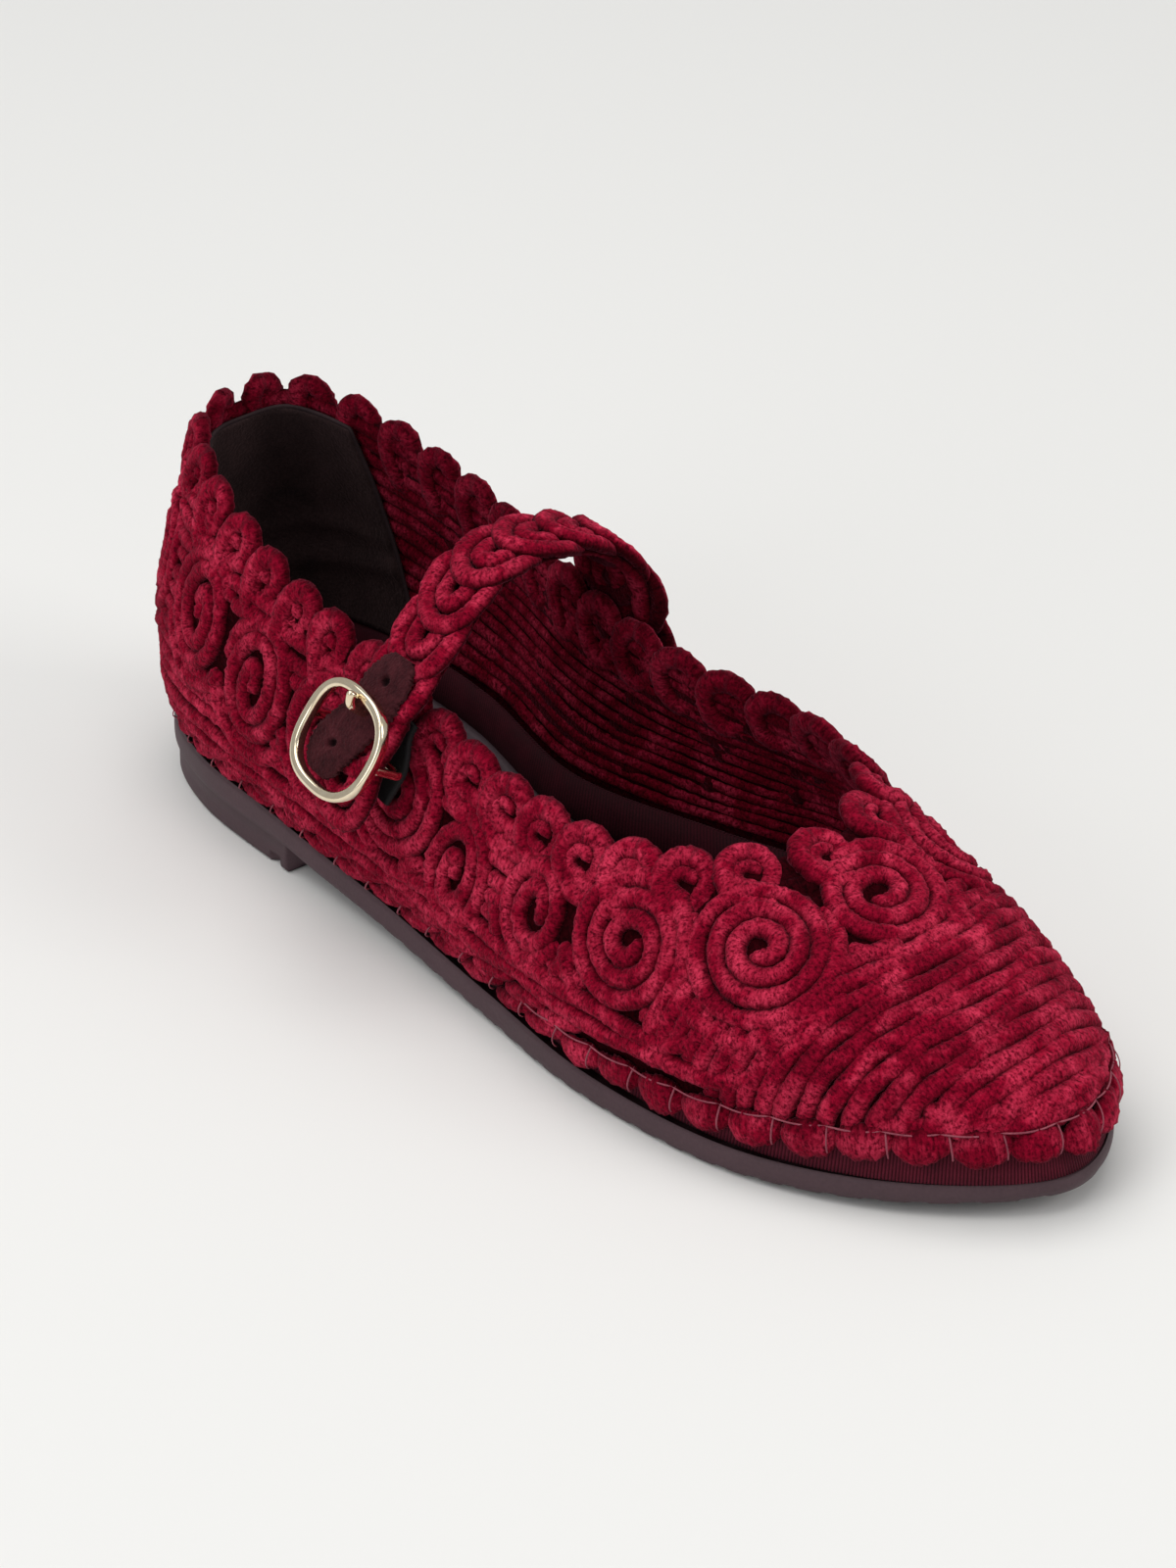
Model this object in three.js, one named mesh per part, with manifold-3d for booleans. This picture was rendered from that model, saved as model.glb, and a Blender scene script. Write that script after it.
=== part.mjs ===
// A right mary jane shoe sewn from chenille cord, with a moulded rubber sole and a buckled strap.
// Millimetres. +Y is the toe, +X the outer side and +Z up; it stands on z = 0.

import * as THREE from 'three';
import Module from 'manifold-3d';

const wasm = await Module();
wasm.setup();

// Driving dimensions
const soleLength = 252; // heel end to toe end
const halfBall = 42; // half of the sole's width at the ball
const collarHigh = 80; // heel collar over the floor
const heelRubber = 12.5; // rubber under the heel
const heelLong = 62; // heel end to the breast of the heel
const archRise = 6.1; // underside of the waist over the floor
const toeSpring = 4.5; // underside of the toe over the floor
const wallThick = 3.6; // cord crest to the inside of the upper
const cordWide = 4.2; // one chenille cord, side to side
const cordRise = 1.3; // cord crest over the groove beside it
const grooveLift = 0.3; // grooves of coils and toe cords over the wall under them
const edgeProud = 1.0; // the lowest cord stands this far out of the wall
const ribbonShow = 9; // ribbon seen under the upper at the toe
const ribbonHidden = 9.5; // ribbon behind the upper, over its lower edge
const ribbonThick = 1.2;
const ribbonLean = 2.9; // foot of the ribbon in front of its top at the toe
const insoleThick = 3;
const liningThick = 1.2;
const loopCount = 37; // cord loops round the collar
const loopTall = 11; // one collar loop, top to bottom
const loopProud = 2.8; // loops over the wall's own top edge
const loopRise = 0.5; // loop crest over the other cords' crests
const strapThick = 4;
const strapWide = 17;
const strapRootWide = 30;
const strapTabWide = 22; // rounded end under the buckle
const patchThick = 1;
const patchWide = 12.5;
const frameWide = 24.5; // buckle across the strap
const frameLong = 23.5; // buckle along the strap
const frameWire = 2.8;
const barWire = 1.8;
const prongWire = 1.8;
const elasticWide = 13;
const elasticThick = 1.2;
const gap = 0.3; // between neighbouring pieces

// Steps of the meshes
const roundSteps = 4; // columns in each section of the last at heel and toe
const sideSteps = 3; // and along the sides
const coilSteps = 8; // one turn of a coil
const ringSides = 6; // round wire

// Sections round the last: heel, outer side, toe, inner side. along and topAlong are shares of
// soleLength, out and topOut of halfBall, the others of collarHigh. swell and rise shape the wall
// where it leaves the sole, reach and drop where it comes to the collar.
const last = table(
  ['along', 'out', 'topAlong', 'topOut', 'topUp', 'swell', 'rise', 'reach', 'drop'],
  [
    [0.000, -0.03, 0.018, 0.00, 1.000, 0.088, 0.288, 0.075, 0.250],
    [0.030, 0.48, 0.040, 0.33, 1.000, 0.100, 0.263, 0.075, 0.250],
    [0.115, 0.72, 0.125, 0.60, 0.950, 0.113, 0.238, 0.063, 0.238],
    [0.240, 0.78, 0.245, 0.68, 0.838, 0.100, 0.213, 0.038, 0.200],
    [0.380, 0.80, 0.365, 0.64, 0.738, 0.081, 0.188, 0.025, 0.163],
    [0.520, 0.86, 0.475, 0.65, 0.650, 0.069, 0.175, 0.031, 0.150],
    [0.660, 0.92, 0.585, 0.62, 0.625, 0.063, 0.175, 0.075, 0.113],
    [0.810, 0.79, 0.665, 0.45, 0.638, 0.063, 0.175, 0.175, 0.113],
    [0.930, 0.39, 0.700, 0.22, 0.650, 0.075, 0.175, 0.350, 0.113],
    [0.997, -0.18, 0.715, -0.06, 0.663, 0.100, 0.175, 0.438, 0.138],
    [0.940, -0.72, 0.705, -0.36, 0.688, 0.075, 0.175, 0.288, 0.125],
    [0.830, -0.93, 0.665, -0.60, 0.700, 0.050, 0.175, 0.113, 0.125],
    [0.680, -0.98, 0.580, -0.68, 0.700, 0.063, 0.175, 0.044, 0.125],
    [0.520, -0.66, 0.480, -0.56, 0.725, 0.075, 0.175, 0.019, 0.150],
    [0.380, -0.44, 0.370, -0.53, 0.775, 0.075, 0.200, 0.025, 0.163],
    [0.240, -0.55, 0.235, -0.60, 0.850, 0.075, 0.250, 0.038, 0.200],
    [0.115, -0.56, 0.115, -0.49, 0.950, 0.063, 0.288, 0.063, 0.238],
    [0.030, -0.42, 0.035, -0.30, 1.000, 0.063, 0.300, 0.088, 0.250],
  ],
);

// Heights along the sole, at shares of soleLength: top of the rubber and foot of the last's wall as
// shares of heelRubber, ribbon that shows as a share of ribbonShow.
const soleHeights = table(
  ['along', 'rubber', 'foot', 'ribbon'],
  [
    [-0.05, 1.00, 1.20, 0.00],
    [0.20, 0.98, 1.08, 0.00],
    [0.35, 0.76, 0.84, 0.00],
    [0.50, 0.56, 0.68, 0.28],
    [0.66, 0.46, 0.56, 0.50],
    [0.80, 0.46, 0.58, 0.67],
    [0.92, 0.56, 0.72, 0.89],
    [1.05, 0.72, 0.88, 1.00],
  ],
);

// Coiled rosettes: column and height of the centre on the last's wall, radius along the shoe and up
// it as shares of cordWide.
const coils = table(
  ['column', 'height', 'alongWide', 'upWide'],
  [
    [2.15, 0.57, 2.6, 3.3],
    [2.80, 0.50, 2.6, 3.4],
    [3.50, 0.52, 2.6, 3.2],
    [4.20, 0.55, 3.0, 3.2],
    [4.80, 0.43, 2.4, 3.0],
    [5.65, 0.53, 2.4, 2.7],
    [6.55, 0.60, 3.4, 3.4],
    [7.95, 0.72, 3.7, 3.7],
    [9.07, 0.82, 3.2, 3.0],
    [10.50, 0.68, 4.0, 3.6],
    [11.95, 0.50, 3.1, 3.5],
    [12.70, 0.43, 2.3, 2.9],
    [13.30, 0.43, 2.4, 2.9],
    [14.05, 0.60, 2.9, 3.4],
    [14.70, 0.50, 2.2, 2.8],
    [15.25, 0.47, 2.8, 3.4],
    [16.05, 0.53, 2.9, 3.8],
    [17.05, 0.55, 2.9, 3.4],
    [18.10, 0.55, 2.9, 3.4],
    [19.15, 0.55, 2.9, 3.4],
  ],
);

// Middle of the strap's thickness from where it leaves the inner side of the wall, over the instep
// and down the outer side. out is a share of halfBall, along of soleLength, up of collarHigh.
const strapBend = table(
  ['out', 'along', 'up'],
  [
    [-0.56, 0.382, 0.860],
    [-0.42, 0.382, 0.928],
    [-0.20, 0.383, 0.968],
    [0.05, 0.384, 0.978],
    [0.28, 0.386, 0.945],
    [0.46, 0.388, 0.868],
    [0.62, 0.389, 0.785],
    [0.78, 0.387, 0.694],
    [0.92, 0.382, 0.594],
    [1.01, 0.375, 0.492],
    [1.05, 0.369, 0.415],
  ],
);

// Tables and smooth interpolation

function table(names, rows) {
  return rows.map((row) => Object.fromEntries(names.map((name, i) => [name, row[i]])));
}

function blend(rows, position, closed) {
  // Catmull-Rom through every column of a table at a fractional row.
  const count = rows.length;
  const whole = Math.floor(position);
  const t = position - whole;
  const pick = (i) => (closed ? rows[((i % count) + count) % count]
    : rows[Math.min(count - 1, Math.max(0, i))]);
  const [a, b, c, d] = [-1, 0, 1, 2].map((i) => pick(whole + i));
  const smooth = (p, q, r, s) => 0.5 * (2 * q + (r - p) * t + (2 * p - 5 * q + 4 * r - s) * t * t
    + (3 * q - p - 3 * r + s) * t ** 3);
  return Object.fromEntries(Object.keys(b).map((key) => [key, smooth(a[key], b[key], c[key], d[key])]));
}

function heightsAt(y) {
  // Sole heights at a place along the shoe, in millimetres.
  const along = y / soleLength;
  const rows = soleHeights;
  let i = 0;
  while (i < rows.length - 2 && along > rows[i + 1].along) i += 1;
  const t = THREE.MathUtils.clamp((along - rows[i].along) / (rows[i + 1].along - rows[i].along), 0, 1);
  const ease = (key) => {
    const slope = (k) => (rows[Math.min(k + 1, rows.length - 1)][key] - rows[Math.max(k - 1, 0)][key])
      / (rows[Math.min(k + 1, rows.length - 1)].along - rows[Math.max(k - 1, 0)].along);
    const span = rows[i + 1].along - rows[i].along;
    const [p, q] = [rows[i][key], rows[i + 1][key]];
    const rise = t * t * (3 - 2 * t);
    return p + (q - p) * rise + span * t * (1 - t) * ((1 - t) * slope(i) - t * slope(i + 1));
  };
  const share = Math.max(0, ease('ribbon'));
  return {
    rubber: ease('rubber') * heelRubber,
    foot: ease('foot') * heelRubber,
    ribbonShare: share,
    ribbon: share * ribbonShow,
  };
}

// The last's surface: u counts sections round the shoe, v runs from the sole to the collar

function outlinePoint(u, inset = 0) {
  const at = (w) => {
    const row = blend(last, w, true);
    return new THREE.Vector3(row.out * halfBall, row.along * soleLength, 0);
  };
  const ahead = at(u + 0.01).sub(at(u - 0.01)).normalize();
  return { point: at(u).add(new THREE.Vector3(-ahead.y, ahead.x, 0).multiplyScalar(inset)),
    outward: new THREE.Vector3(ahead.y, -ahead.x, 0) };
}

function lastPoint(u, v) {
  const row = blend(last, u, true);
  const { point: foot, outward } = outlinePoint(u);
  foot.z = heightsAt(foot.y).foot;
  const top = new THREE.Vector3(row.topOut * halfBall, row.topAlong * soleLength, row.topUp * collarHigh);
  const lower = foot.clone().addScaledVector(outward, row.swell * collarHigh);
  lower.z += row.rise * collarHigh;
  const upper = top.clone().addScaledVector(outward, row.reach * collarHigh);
  upper.z -= row.drop * collarHigh;
  const w = 1 - v;
  return foot.multiplyScalar(w ** 3)
    .addScaledVector(lower, 3 * w * w * v)
    .addScaledVector(upper, 3 * w * v * v)
    .addScaledVector(top, v ** 3);
}

function tangents(u, v) {
  const step = 0.01;
  const around = lastPoint(u + step, v).sub(lastPoint(u - step, v)).divideScalar(2 * step);
  const up = lastPoint(u, v + step).sub(lastPoint(u, v - step)).divideScalar(2 * step);
  return { around, up, normal: around.clone().cross(up).normalize() };
}

function skin(u, v, depth) {
  // A point this deep under the cord crests.
  return lastPoint(u, v).addScaledVector(tangents(u, v).normal, -depth);
}

function bisect(test, low, high) {
  // The place between low and high where test turns from false to true.
  for (let i = 0; i < 30; i += 1) {
    const middle = (low + high) / 2;
    if (test(middle)) high = middle;
    else low = middle;
  }
  return (low + high) / 2;
}

const columns = last.flatMap((row, i) => {
  // Both ends of the shoe have two round sections on each side.
  const fromEnd = Math.min(i, last.length - 1 - i, Math.abs(last.length / 2 - 0.5 - i));
  const steps = fromEnd < 2 ? roundSteps : sideSteps;
  return Array.from({ length: steps }, (unused, k) => i + k / steps);
});

const columnCache = new Map();

function columnAt(u) {
  // Lower edge of the upper and the way up the wall from it, for one column.
  if (columnCache.has(u)) return columnCache.get(u);
  const edge = bisect((v) => {
    const point = lastPoint(u, v);
    const sole = heightsAt(outlinePoint(u).point.y);
    return point.z > sole.rubber + gap + sole.ribbon;
  }, -0.3, 0.6);
  const samples = 40;
  const lengths = [0];
  const places = [edge];
  for (let i = 1; i <= samples; i += 1) {
    places.push(edge + ((1 - edge) * i) / samples);
    lengths.push(lengths[i - 1] + lastPoint(u, places[i]).distanceTo(lastPoint(u, places[i - 1])));
  }
  const column = { edge, lengths, places, total: lengths[samples] };
  columnCache.set(u, column);
  return column;
}

function placeUp(u, way) {
  // v at this many millimetres up the wall from the upper's lower edge.
  const { lengths, places } = columnAt(u);
  let i = 0;
  while (i < lengths.length - 2 && way > lengths[i + 1]) i += 1;
  return places[i] + ((way - lengths[i]) / (lengths[i + 1] - lengths[i])) * (places[i + 1] - places[i]);
}

// Closed meshes

function closedSolid(points, faces) {
  // Faces with repeated corners are dropped and all are turned to point out.
  const kept = faces.filter(([a, b, c]) => a !== b && b !== c && c !== a);
  const volume = kept.reduce((sum, [a, b, c]) => sum
    + points[a].dot(points[b].clone().cross(points[c])), 0);
  const turned = volume < 0 ? kept.map(([a, b, c]) => [a, c, b]) : kept;
  return new wasm.Manifold(new wasm.Mesh({
    numProp: 3,
    vertProperties: new Float32Array(points.flatMap((p) => [p.x, p.y, p.z])),
    triVerts: new Uint32Array(turned.flat()),
  }));
}

function ringBands(rows, faces, closed) {
  // Quads between rows that run round the shoe; closed joins the last row to the first.
  const count = rows[0].length;
  for (let r = 0; r < rows.length - (closed ? 0 : 1); r += 1) {
    const next = (r + 1) % rows.length;
    for (let i = 0; i < count; i += 1) {
      const j = (i + 1) % count;
      const [a, b, c, d] = [r * count + i, r * count + j, next * count + j, next * count + i];
      faces.push([a, b, c], [a, c, d]);
    }
  }
}

function ringSolid(rows) {
  const faces = [];
  ringBands(rows, faces, true);
  return closedSolid(rows.flat(), faces);
}

function slabSolid(rows) {
  // Rows round the shoe, the first and last closed by a ladder from side to side.
  const faces = [];
  ringBands(rows, faces, false);
  const count = rows[0].length;
  const rung = (start, flip) => {
    for (let i = 0; i < count / 2; i += 1) {
      const [a, b] = [start + i, start + i + 1];
      const [c, d] = [start + ((count - i - 1) % count), start + ((count - i) % count)];
      const quad = [[a, b, c], [a, c, d]];
      quad.forEach(([p, q, r]) => faces.push(flip ? [p, r, q] : [p, q, r]));
    }
  };
  rung(0, true);
  rung((rows.length - 1) * count, false);
  return closedSolid(rows.flat(), faces);
}

function sweepSolid(sections) {
  // Sections of equally many points, fanned shut at both ends.
  const sides = sections[0].length;
  const faces = [];
  for (let s = 0; s < sections.length - 1; s += 1) {
    for (let i = 0; i < sides; i += 1) {
      const j = (i + 1) % sides;
      const [a, b] = [s * sides + i, s * sides + j];
      faces.push([a, b, b + sides], [a, b + sides, a + sides]);
    }
  }
  const end = (sections.length - 1) * sides;
  for (let i = 1; i < sides - 1; i += 1) faces.push([0, i + 1, i], [end, end + i, end + i + 1]);
  return closedSolid(sections.flat(), faces);
}

function loopSolid(sections) {
  // Sections round a closed ring.
  const sides = sections[0].length;
  const faces = [];
  sections.forEach((section, s) => {
    const next = (s + 1) % sections.length;
    for (let i = 0; i < sides; i += 1) {
      const j = (i + 1) % sides;
      faces.push([s * sides + i, s * sides + j, next * sides + j],
        [s * sides + i, next * sides + j, next * sides + i]);
    }
  });
  return closedSolid(sections.flat(), faces);
}

function meshOf(name, solid, look) {
  const { vertProperties, triVerts } = solid.getMesh();
  const geometry = new THREE.BufferGeometry();
  geometry.setAttribute('position', new THREE.BufferAttribute(new Float32Array(vertProperties), 3));
  geometry.setIndex(new THREE.BufferAttribute(new Uint32Array(triVerts), 1));
  geometry.computeVertexNormals();
  const mesh = new THREE.Mesh(geometry, new THREE.MeshStandardMaterial(look));
  mesh.name = name;
  return mesh;
}

// Sole

function undersideAt(y) {
  // Floor side of the sole in front of the heel: arch, flat forefoot and toe spring.
  const restStart = soleLength * 0.595;
  const restEnd = soleLength * 0.754;
  if (y < restStart) {
    return archRise * Math.min(1, (restStart - y) / (restStart - heelLong)) ** 1.5;
  }
  return y > restEnd ? toeSpring * ((y - restEnd) / (soleLength - restEnd)) ** 1.7 : 0;
}

const heelInset = 0.8; // heel block's side behind the slab's

function makeOutsole() {
  // The slab's side is rounded at its foot and, more tightly, under the ribbon.
  const [footInset, footRound] = [1.5, 1.6];
  const [topInset, topRound] = [0.6, 1];
  const edgeRow = (inset, height) => columns.map((u) => {
    const { point } = outlinePoint(u, inset);
    point.z = height(point.y, outlinePoint(u).point.y);
    return point;
  });
  const slab = slabSolid([
    edgeRow(footInset, (y) => undersideAt(y)),
    edgeRow(0, (y) => undersideAt(y) + footRound),
    edgeRow(0, (y, edgeY) => heightsAt(edgeY).rubber - topRound),
    edgeRow(topInset, (y, edgeY) => heightsAt(edgeY).rubber),
  ]);
  return slab.add(makeHeelBlock()).subtract(makeBreastNotches());
}

function makeHeelBlock() {
  // The heel's own block under the slab, set in a little so that its joint shows as a step.
  const footChamfer = 0.9;
  const insideHeel = (u) => outlinePoint(u, heelInset).point.y < heelLong;
  const outerEnd = bisect((u) => !insideHeel(u), 0, 4);
  const innerEnd = bisect((u) => !insideHeel(-u), 0, 4);
  const steps = 28;
  const places = Array.from({ length: steps + 1 }, (unused, i) => -innerEnd
    + ((outerEnd + innerEnd) * i) / steps);
  const outline = (inset, z) => places.map((u, i) => {
    const { point } = outlinePoint(u, heelInset + inset);
    if (i === 0 || i === steps) point.y = heelLong - inset;
    return point.setZ(z);
  });
  return sweepSolid([
    outline(footChamfer, 0),
    outline(0, footChamfer),
    outline(0, archRise + 2),
  ]);
}

function makeBreastNotches() {
  // A shallow upright groove in the heel's side, close behind the breast.
  const notchWide = 2.2;
  const notchDeep = 1.2;
  const notchBack = 6;
  const outside = 5;
  const notch = (side) => {
    const reachY = heelLong - notchBack;
    const u = side > 0 ? bisect((w) => outlinePoint(w).point.y > reachY, 0, 4)
      : -bisect((w) => outlinePoint(-w).point.y > reachY, 0, 4);
    const edge = outlinePoint(u).point.x;
    const [inner, outer] = [edge - side * (notchDeep + heelInset), edge + side * outside];
    const front = reachY + notchWide;
    const corners = [[inner, reachY], [outer, reachY], [outer, front], [inner, front]];
    return sweepSolid([-1, archRise].map((z) => corners.map(([x, y]) => new THREE.Vector3(x, y, z))));
  };
  return notch(1).add(notch(-1));
}

// Ribbon band between upper and rubber, and the insole inside it

const bandDepth = wallThick + 1.5 * gap;

function ribbonRow(depth, level) {
  // Its bend to the foot lies just over the upper's edge, and under it where the ribbon shows.
  const [bendOver, bendDrop] = [0.8, 1.3];
  return columns.map((u) => {
    const { point } = outlinePoint(u);
    const sole = heightsAt(point.y);
    if (level === 'foot') {
      const lean = ribbonLean * sole.ribbonShare ** 2;
      return skin(u, columnAt(u).edge, bandDepth + depth)
        .addScaledVector(outlinePoint(u).outward, lean)
        .setZ(sole.rubber + gap);
    }
    const way = level === 'edge' ? bendOver - bendDrop * sole.ribbonShare : ribbonHidden;
    return skin(u, placeUp(u, way), bandDepth + depth);
  });
}

function makeRibbon() {
  const levels = ['foot', 'edge', 'top'];
  const outer = levels.map((level) => ribbonRow(0, level));
  const inner = ['top', 'foot'].map((level) => ribbonRow(ribbonThick, level));
  return ringSolid([...outer, ...inner]);
}

function makeInsole() {
  // Its edge follows the lean of the ribbon's inner face.
  const lower = ribbonRow(ribbonThick + gap, 'foot');
  const bandTop = ribbonRow(ribbonThick + gap, 'top');
  const upper = lower.map((point, i) => point.clone()
    .lerp(bandTop[i], insoleThick / (bandTop[i].z - point.z)).setZ(point.z + insoleThick));
  return slabSolid([lower, upper]);
}

// Upper

function wallTop(u) {
  return columnAt(u).total - loopProud;
}

function makeWall() {
  // Long cords over the lower edge fade out at the toe, where the cords run across.
  const edgeTurn = cordRise * 0.4;
  const outerRow = (way, depth, fades = false) => columns.map((u) => {
    const side = THREE.MathUtils.smoothstep(Math.abs(u - last.length / 2), 1, 2);
    return skin(u, placeUp(u, way), fades ? cordRise - (cordRise - depth) * side : depth);
  });
  const higher = (share, depth) => columns.map((u) => {
    const start = cordWide * 3;
    return skin(u, placeUp(u, start + (wallTop(u) - start) * share), depth);
  });
  const innerRow = (share) => columns.map((u) => {
    const way = share === 0 ? 0 : ribbonHidden + (wallTop(u) - ribbonHidden) * (share - 0.2) / 0.8;
    return skin(u, placeUp(u, way), wallThick);
  });
  return ringSolid([
    outerRow(0, edgeTurn),
    outerRow(cordWide * 0.5, -edgeProud),
    outerRow(cordWide, cordRise),
    outerRow(cordWide * 1.5, 0, true),
    outerRow(cordWide * 2, cordRise),
    outerRow(cordWide * 2.5, 0, true),
    outerRow(cordWide * 3, cordRise),
    ...[0.33, 0.67, 1].map((share) => higher(share, cordRise)),
    ...[1, 0.8, 0.6, 0.4, 0.2, 0].map(innerRow),
  ]);
}

function surfacePlace(u, v, across, up) {
  // Column and height of the point that lies across and up from a centre, both in millimetres.
  const { around, up: rise, normal } = tangents(u, v);
  const unitAcross = around.clone().normalize();
  const unitUp = normal.clone().cross(unitAcross);
  const target = lastPoint(u, v).addScaledVector(unitAcross, across).addScaledVector(unitUp, up);
  const place = [u, v];
  for (let i = 0; i < 4; i += 1) {
    const miss = target.clone().sub(lastPoint(...place));
    const here = tangents(...place);
    const m = [here.around.dot(unitAcross), here.up.dot(unitAcross),
      here.around.dot(unitUp), here.up.dot(unitUp)];
    const [x, y] = [miss.dot(unitAcross), miss.dot(unitUp)];
    const scale = m[0] * m[3] - m[1] * m[2];
    place[0] += (x * m[3] - y * m[1]) / scale;
    place[1] += (y * m[0] - x * m[2]) / scale;
  }
  return place;
}

function makeCoil({ column, height, alongWide, upWide }) {
  // One cord wound flat: crests and grooves follow a spiral, with a sunk skirt under its rim.
  const turns = Math.max(2, Math.round(Math.min(alongWide, upWide) - 0.5));
  const steps = turns * coilSteps;
  const points = [];
  const add = (j, radius, depth) => {
    const angle = (2 * Math.PI * j) / coilSteps;
    const share = (radius / (turns + 0.5)) * cordWide;
    const place = surfacePlace(column, height, Math.cos(angle) * share * alongWide,
      Math.sin(angle) * share * upWide);
    return points.push(skin(...place, depth)) - 1;
  };
  const middle = add(0, 0, 0);
  const crest = Array.from({ length: steps + 1 }, (unused, j) => (j === 0 ? middle
    : add(j, j / coilSteps, 0)));
  const groove = Array.from({ length: steps + coilSteps + 1 }, (unused, j) => (
    j <= coilSteps / 2 ? middle : add(j, j / coilSteps - 0.5, cordRise - grooveLift)));
  const rim = groove.slice(steps);
  const sunk = cordRise + 1; // inside the wall, so that both join
  const skirt = rim.map((unused, i) => add(steps + i, (steps + i) / coilSteps - 0.5, sunk));
  const floor = add(0, 0, sunk);
  const faces = [];
  const quad = (a, b, c, d) => faces.push([a, b, c], [a, c, d]);
  for (let j = 0; j < steps; j += 1) {
    quad(groove[j], groove[j + 1], crest[j + 1], crest[j]);
    quad(crest[j], crest[j + 1], groove[j + 1 + coilSteps], groove[j + coilSteps]);
  }
  for (let j = coilSteps / 2; j < coilSteps; j += 1) faces.push([middle, groove[j + 1], groove[j]]);
  faces.push([rim[coilSteps], crest[steps], rim[0]]);
  for (let i = 0; i <= coilSteps; i += 1) {
    const next = i < coilSteps ? i + 1 : 0;
    quad(rim[i], rim[next], skirt[next], skirt[i]);
    faces.push([skirt[i], skirt[next], floor]);
  }
  return closedSolid(points, faces);
}

function collarPlaces() {
  // Columns at even steps along the collar.
  const samples = 720;
  const lengths = [0];
  for (let i = 1; i <= samples; i += 1) {
    const [a, b] = [(i - 1), i].map((k) => lastPoint((k / samples) * last.length, 1));
    lengths.push(lengths[i - 1] + a.distanceTo(b));
  }
  const total = lengths[samples];
  return Array.from({ length: loopCount }, (unused, k) => {
    const way = (total * (k + 0.5)) / loopCount;
    const i = lengths.findIndex((length) => length > way);
    return { column: ((i - 0.5) / samples) * last.length, pitch: total / loopCount };
  });
}

function makeCollarLoop({ column, pitch }) {
  // A loop of cord round a pit, standing over the wall's top edge.
  const corners = 7;
  const wide = pitch * 0.56; // a little over half, so that neighbours join
  const tall = loopTall * 0.5;
  const [crestShare, rimShare] = [0.72, 1.04];
  const rimDepth = wallThick * 0.75;
  const centre = placeUp(column, columnAt(column).total - tall);
  const at = (share, depth) => Array.from({ length: corners }, (unused, i) => {
    const angle = (2 * Math.PI * (i - 0.25)) / corners;
    const [across, up] = [Math.cos(angle) * wide * share, Math.sin(angle) * tall * share];
    return skin(...surfacePlace(column, centre, across, up), depth);
  });
  const crest = at(crestShare, -loopRise);
  const rim = at(rimShare, rimDepth);
  const pit = skin(column, centre, cordRise - grooveLift);
  const back = skin(column, centre, wallThick - 0.1);
  const faces = [];
  for (let i = 0; i < corners; i += 1) {
    const j = (i + 1) % corners;
    const [c, d, e, f] = [1 + i, 1 + j, 1 + corners + i, 1 + corners + j];
    faces.push([0, c, d], [c, e, f], [c, f, d], [e, 2 * corners + 1, f]);
  }
  return closedSolid([pit, ...crest, ...rim, back], faces);
}

function makeToeCords() {
  // Cords laid across the toe. Crests and grooves lie on lines that bow towards the tip, and each
  // line ends on the cord that runs round the lower edge.
  const firstLine = soleLength * 0.838;
  const lastLine = soleLength * 0.986;
  const bow = halfBall * 0.3;
  const steps = 12;
  const sunk = cordRise + 1.2; // inside the wall
  const middle = last.length / 2;
  const count = 2 * Math.round((lastLine - firstLine) / (cordWide * 0.72));
  const lower = (u) => placeUp(u, cordWide);
  const sections = Array.from({ length: count + 1 }, (unused, k) => {
    const line = firstLine + ((lastLine - firstLine) * k) / count;
    const behind = (u, v) => {
      const point = lastPoint(u, v);
      return point.y + bow * (point.x / halfBall) ** 2 < line;
    };
    const ends = [-1, 1].map((side) => middle
      + side * bisect((w) => behind(middle + side * w, lower(middle + side * w)), 0, 2.6));
    const places = Array.from({ length: steps + 1 }, (none, i) => {
      const u = ends[0] + ((ends[1] - ends[0]) * i) / steps;
      return [u, i % steps === 0 ? lower(u) : bisect((v) => behind(u, v), lower(u), 0.97)];
    });
    const depth = k % 2 ? 0 : cordRise - grooveLift;
    return [...places.map((place) => skin(...place, depth)),
      ...places.map((place) => skin(...place, sunk)).reverse()];
  });
  return stripSolid(sections, steps + 1);
}

function makeUpper() {
  const raised = [...coils.map(makeCoil), ...collarPlaces().map(makeCollarLoop), makeToeCords()];
  return wasm.Manifold.union([makeWall(), ...raised]).simplify(0.1);
}

function makeHeelLining() {
  // A patch inside the heel, its front edges slanting down towards the arch.
  const shares = [0.2, 0.43, 0.7, 0.93];
  const reach = 2.25;
  const steps = roundSteps * 3;
  const stand = 0.25; // off the wall
  const slant = 0.8; // of the front edges, in columns
  const row = (share, depth) => Array.from({ length: steps + 1 }, (unused, i) => {
    const u = (2 * i / steps - 1) * (reach - (share - 0.2) * slant);
    const way = ribbonHidden + gap + (wallTop(u) - ribbonHidden) * (share - 0.2) / 0.8;
    return skin(u, placeUp(u, way), wallThick + gap + depth);
  });
  const sections = shares.map((share) => [
    ...row(share, stand),
    ...row(share, stand + liningThick).reverse(),
  ]);
  return stripSolid(sections, steps + 1);
}

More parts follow.
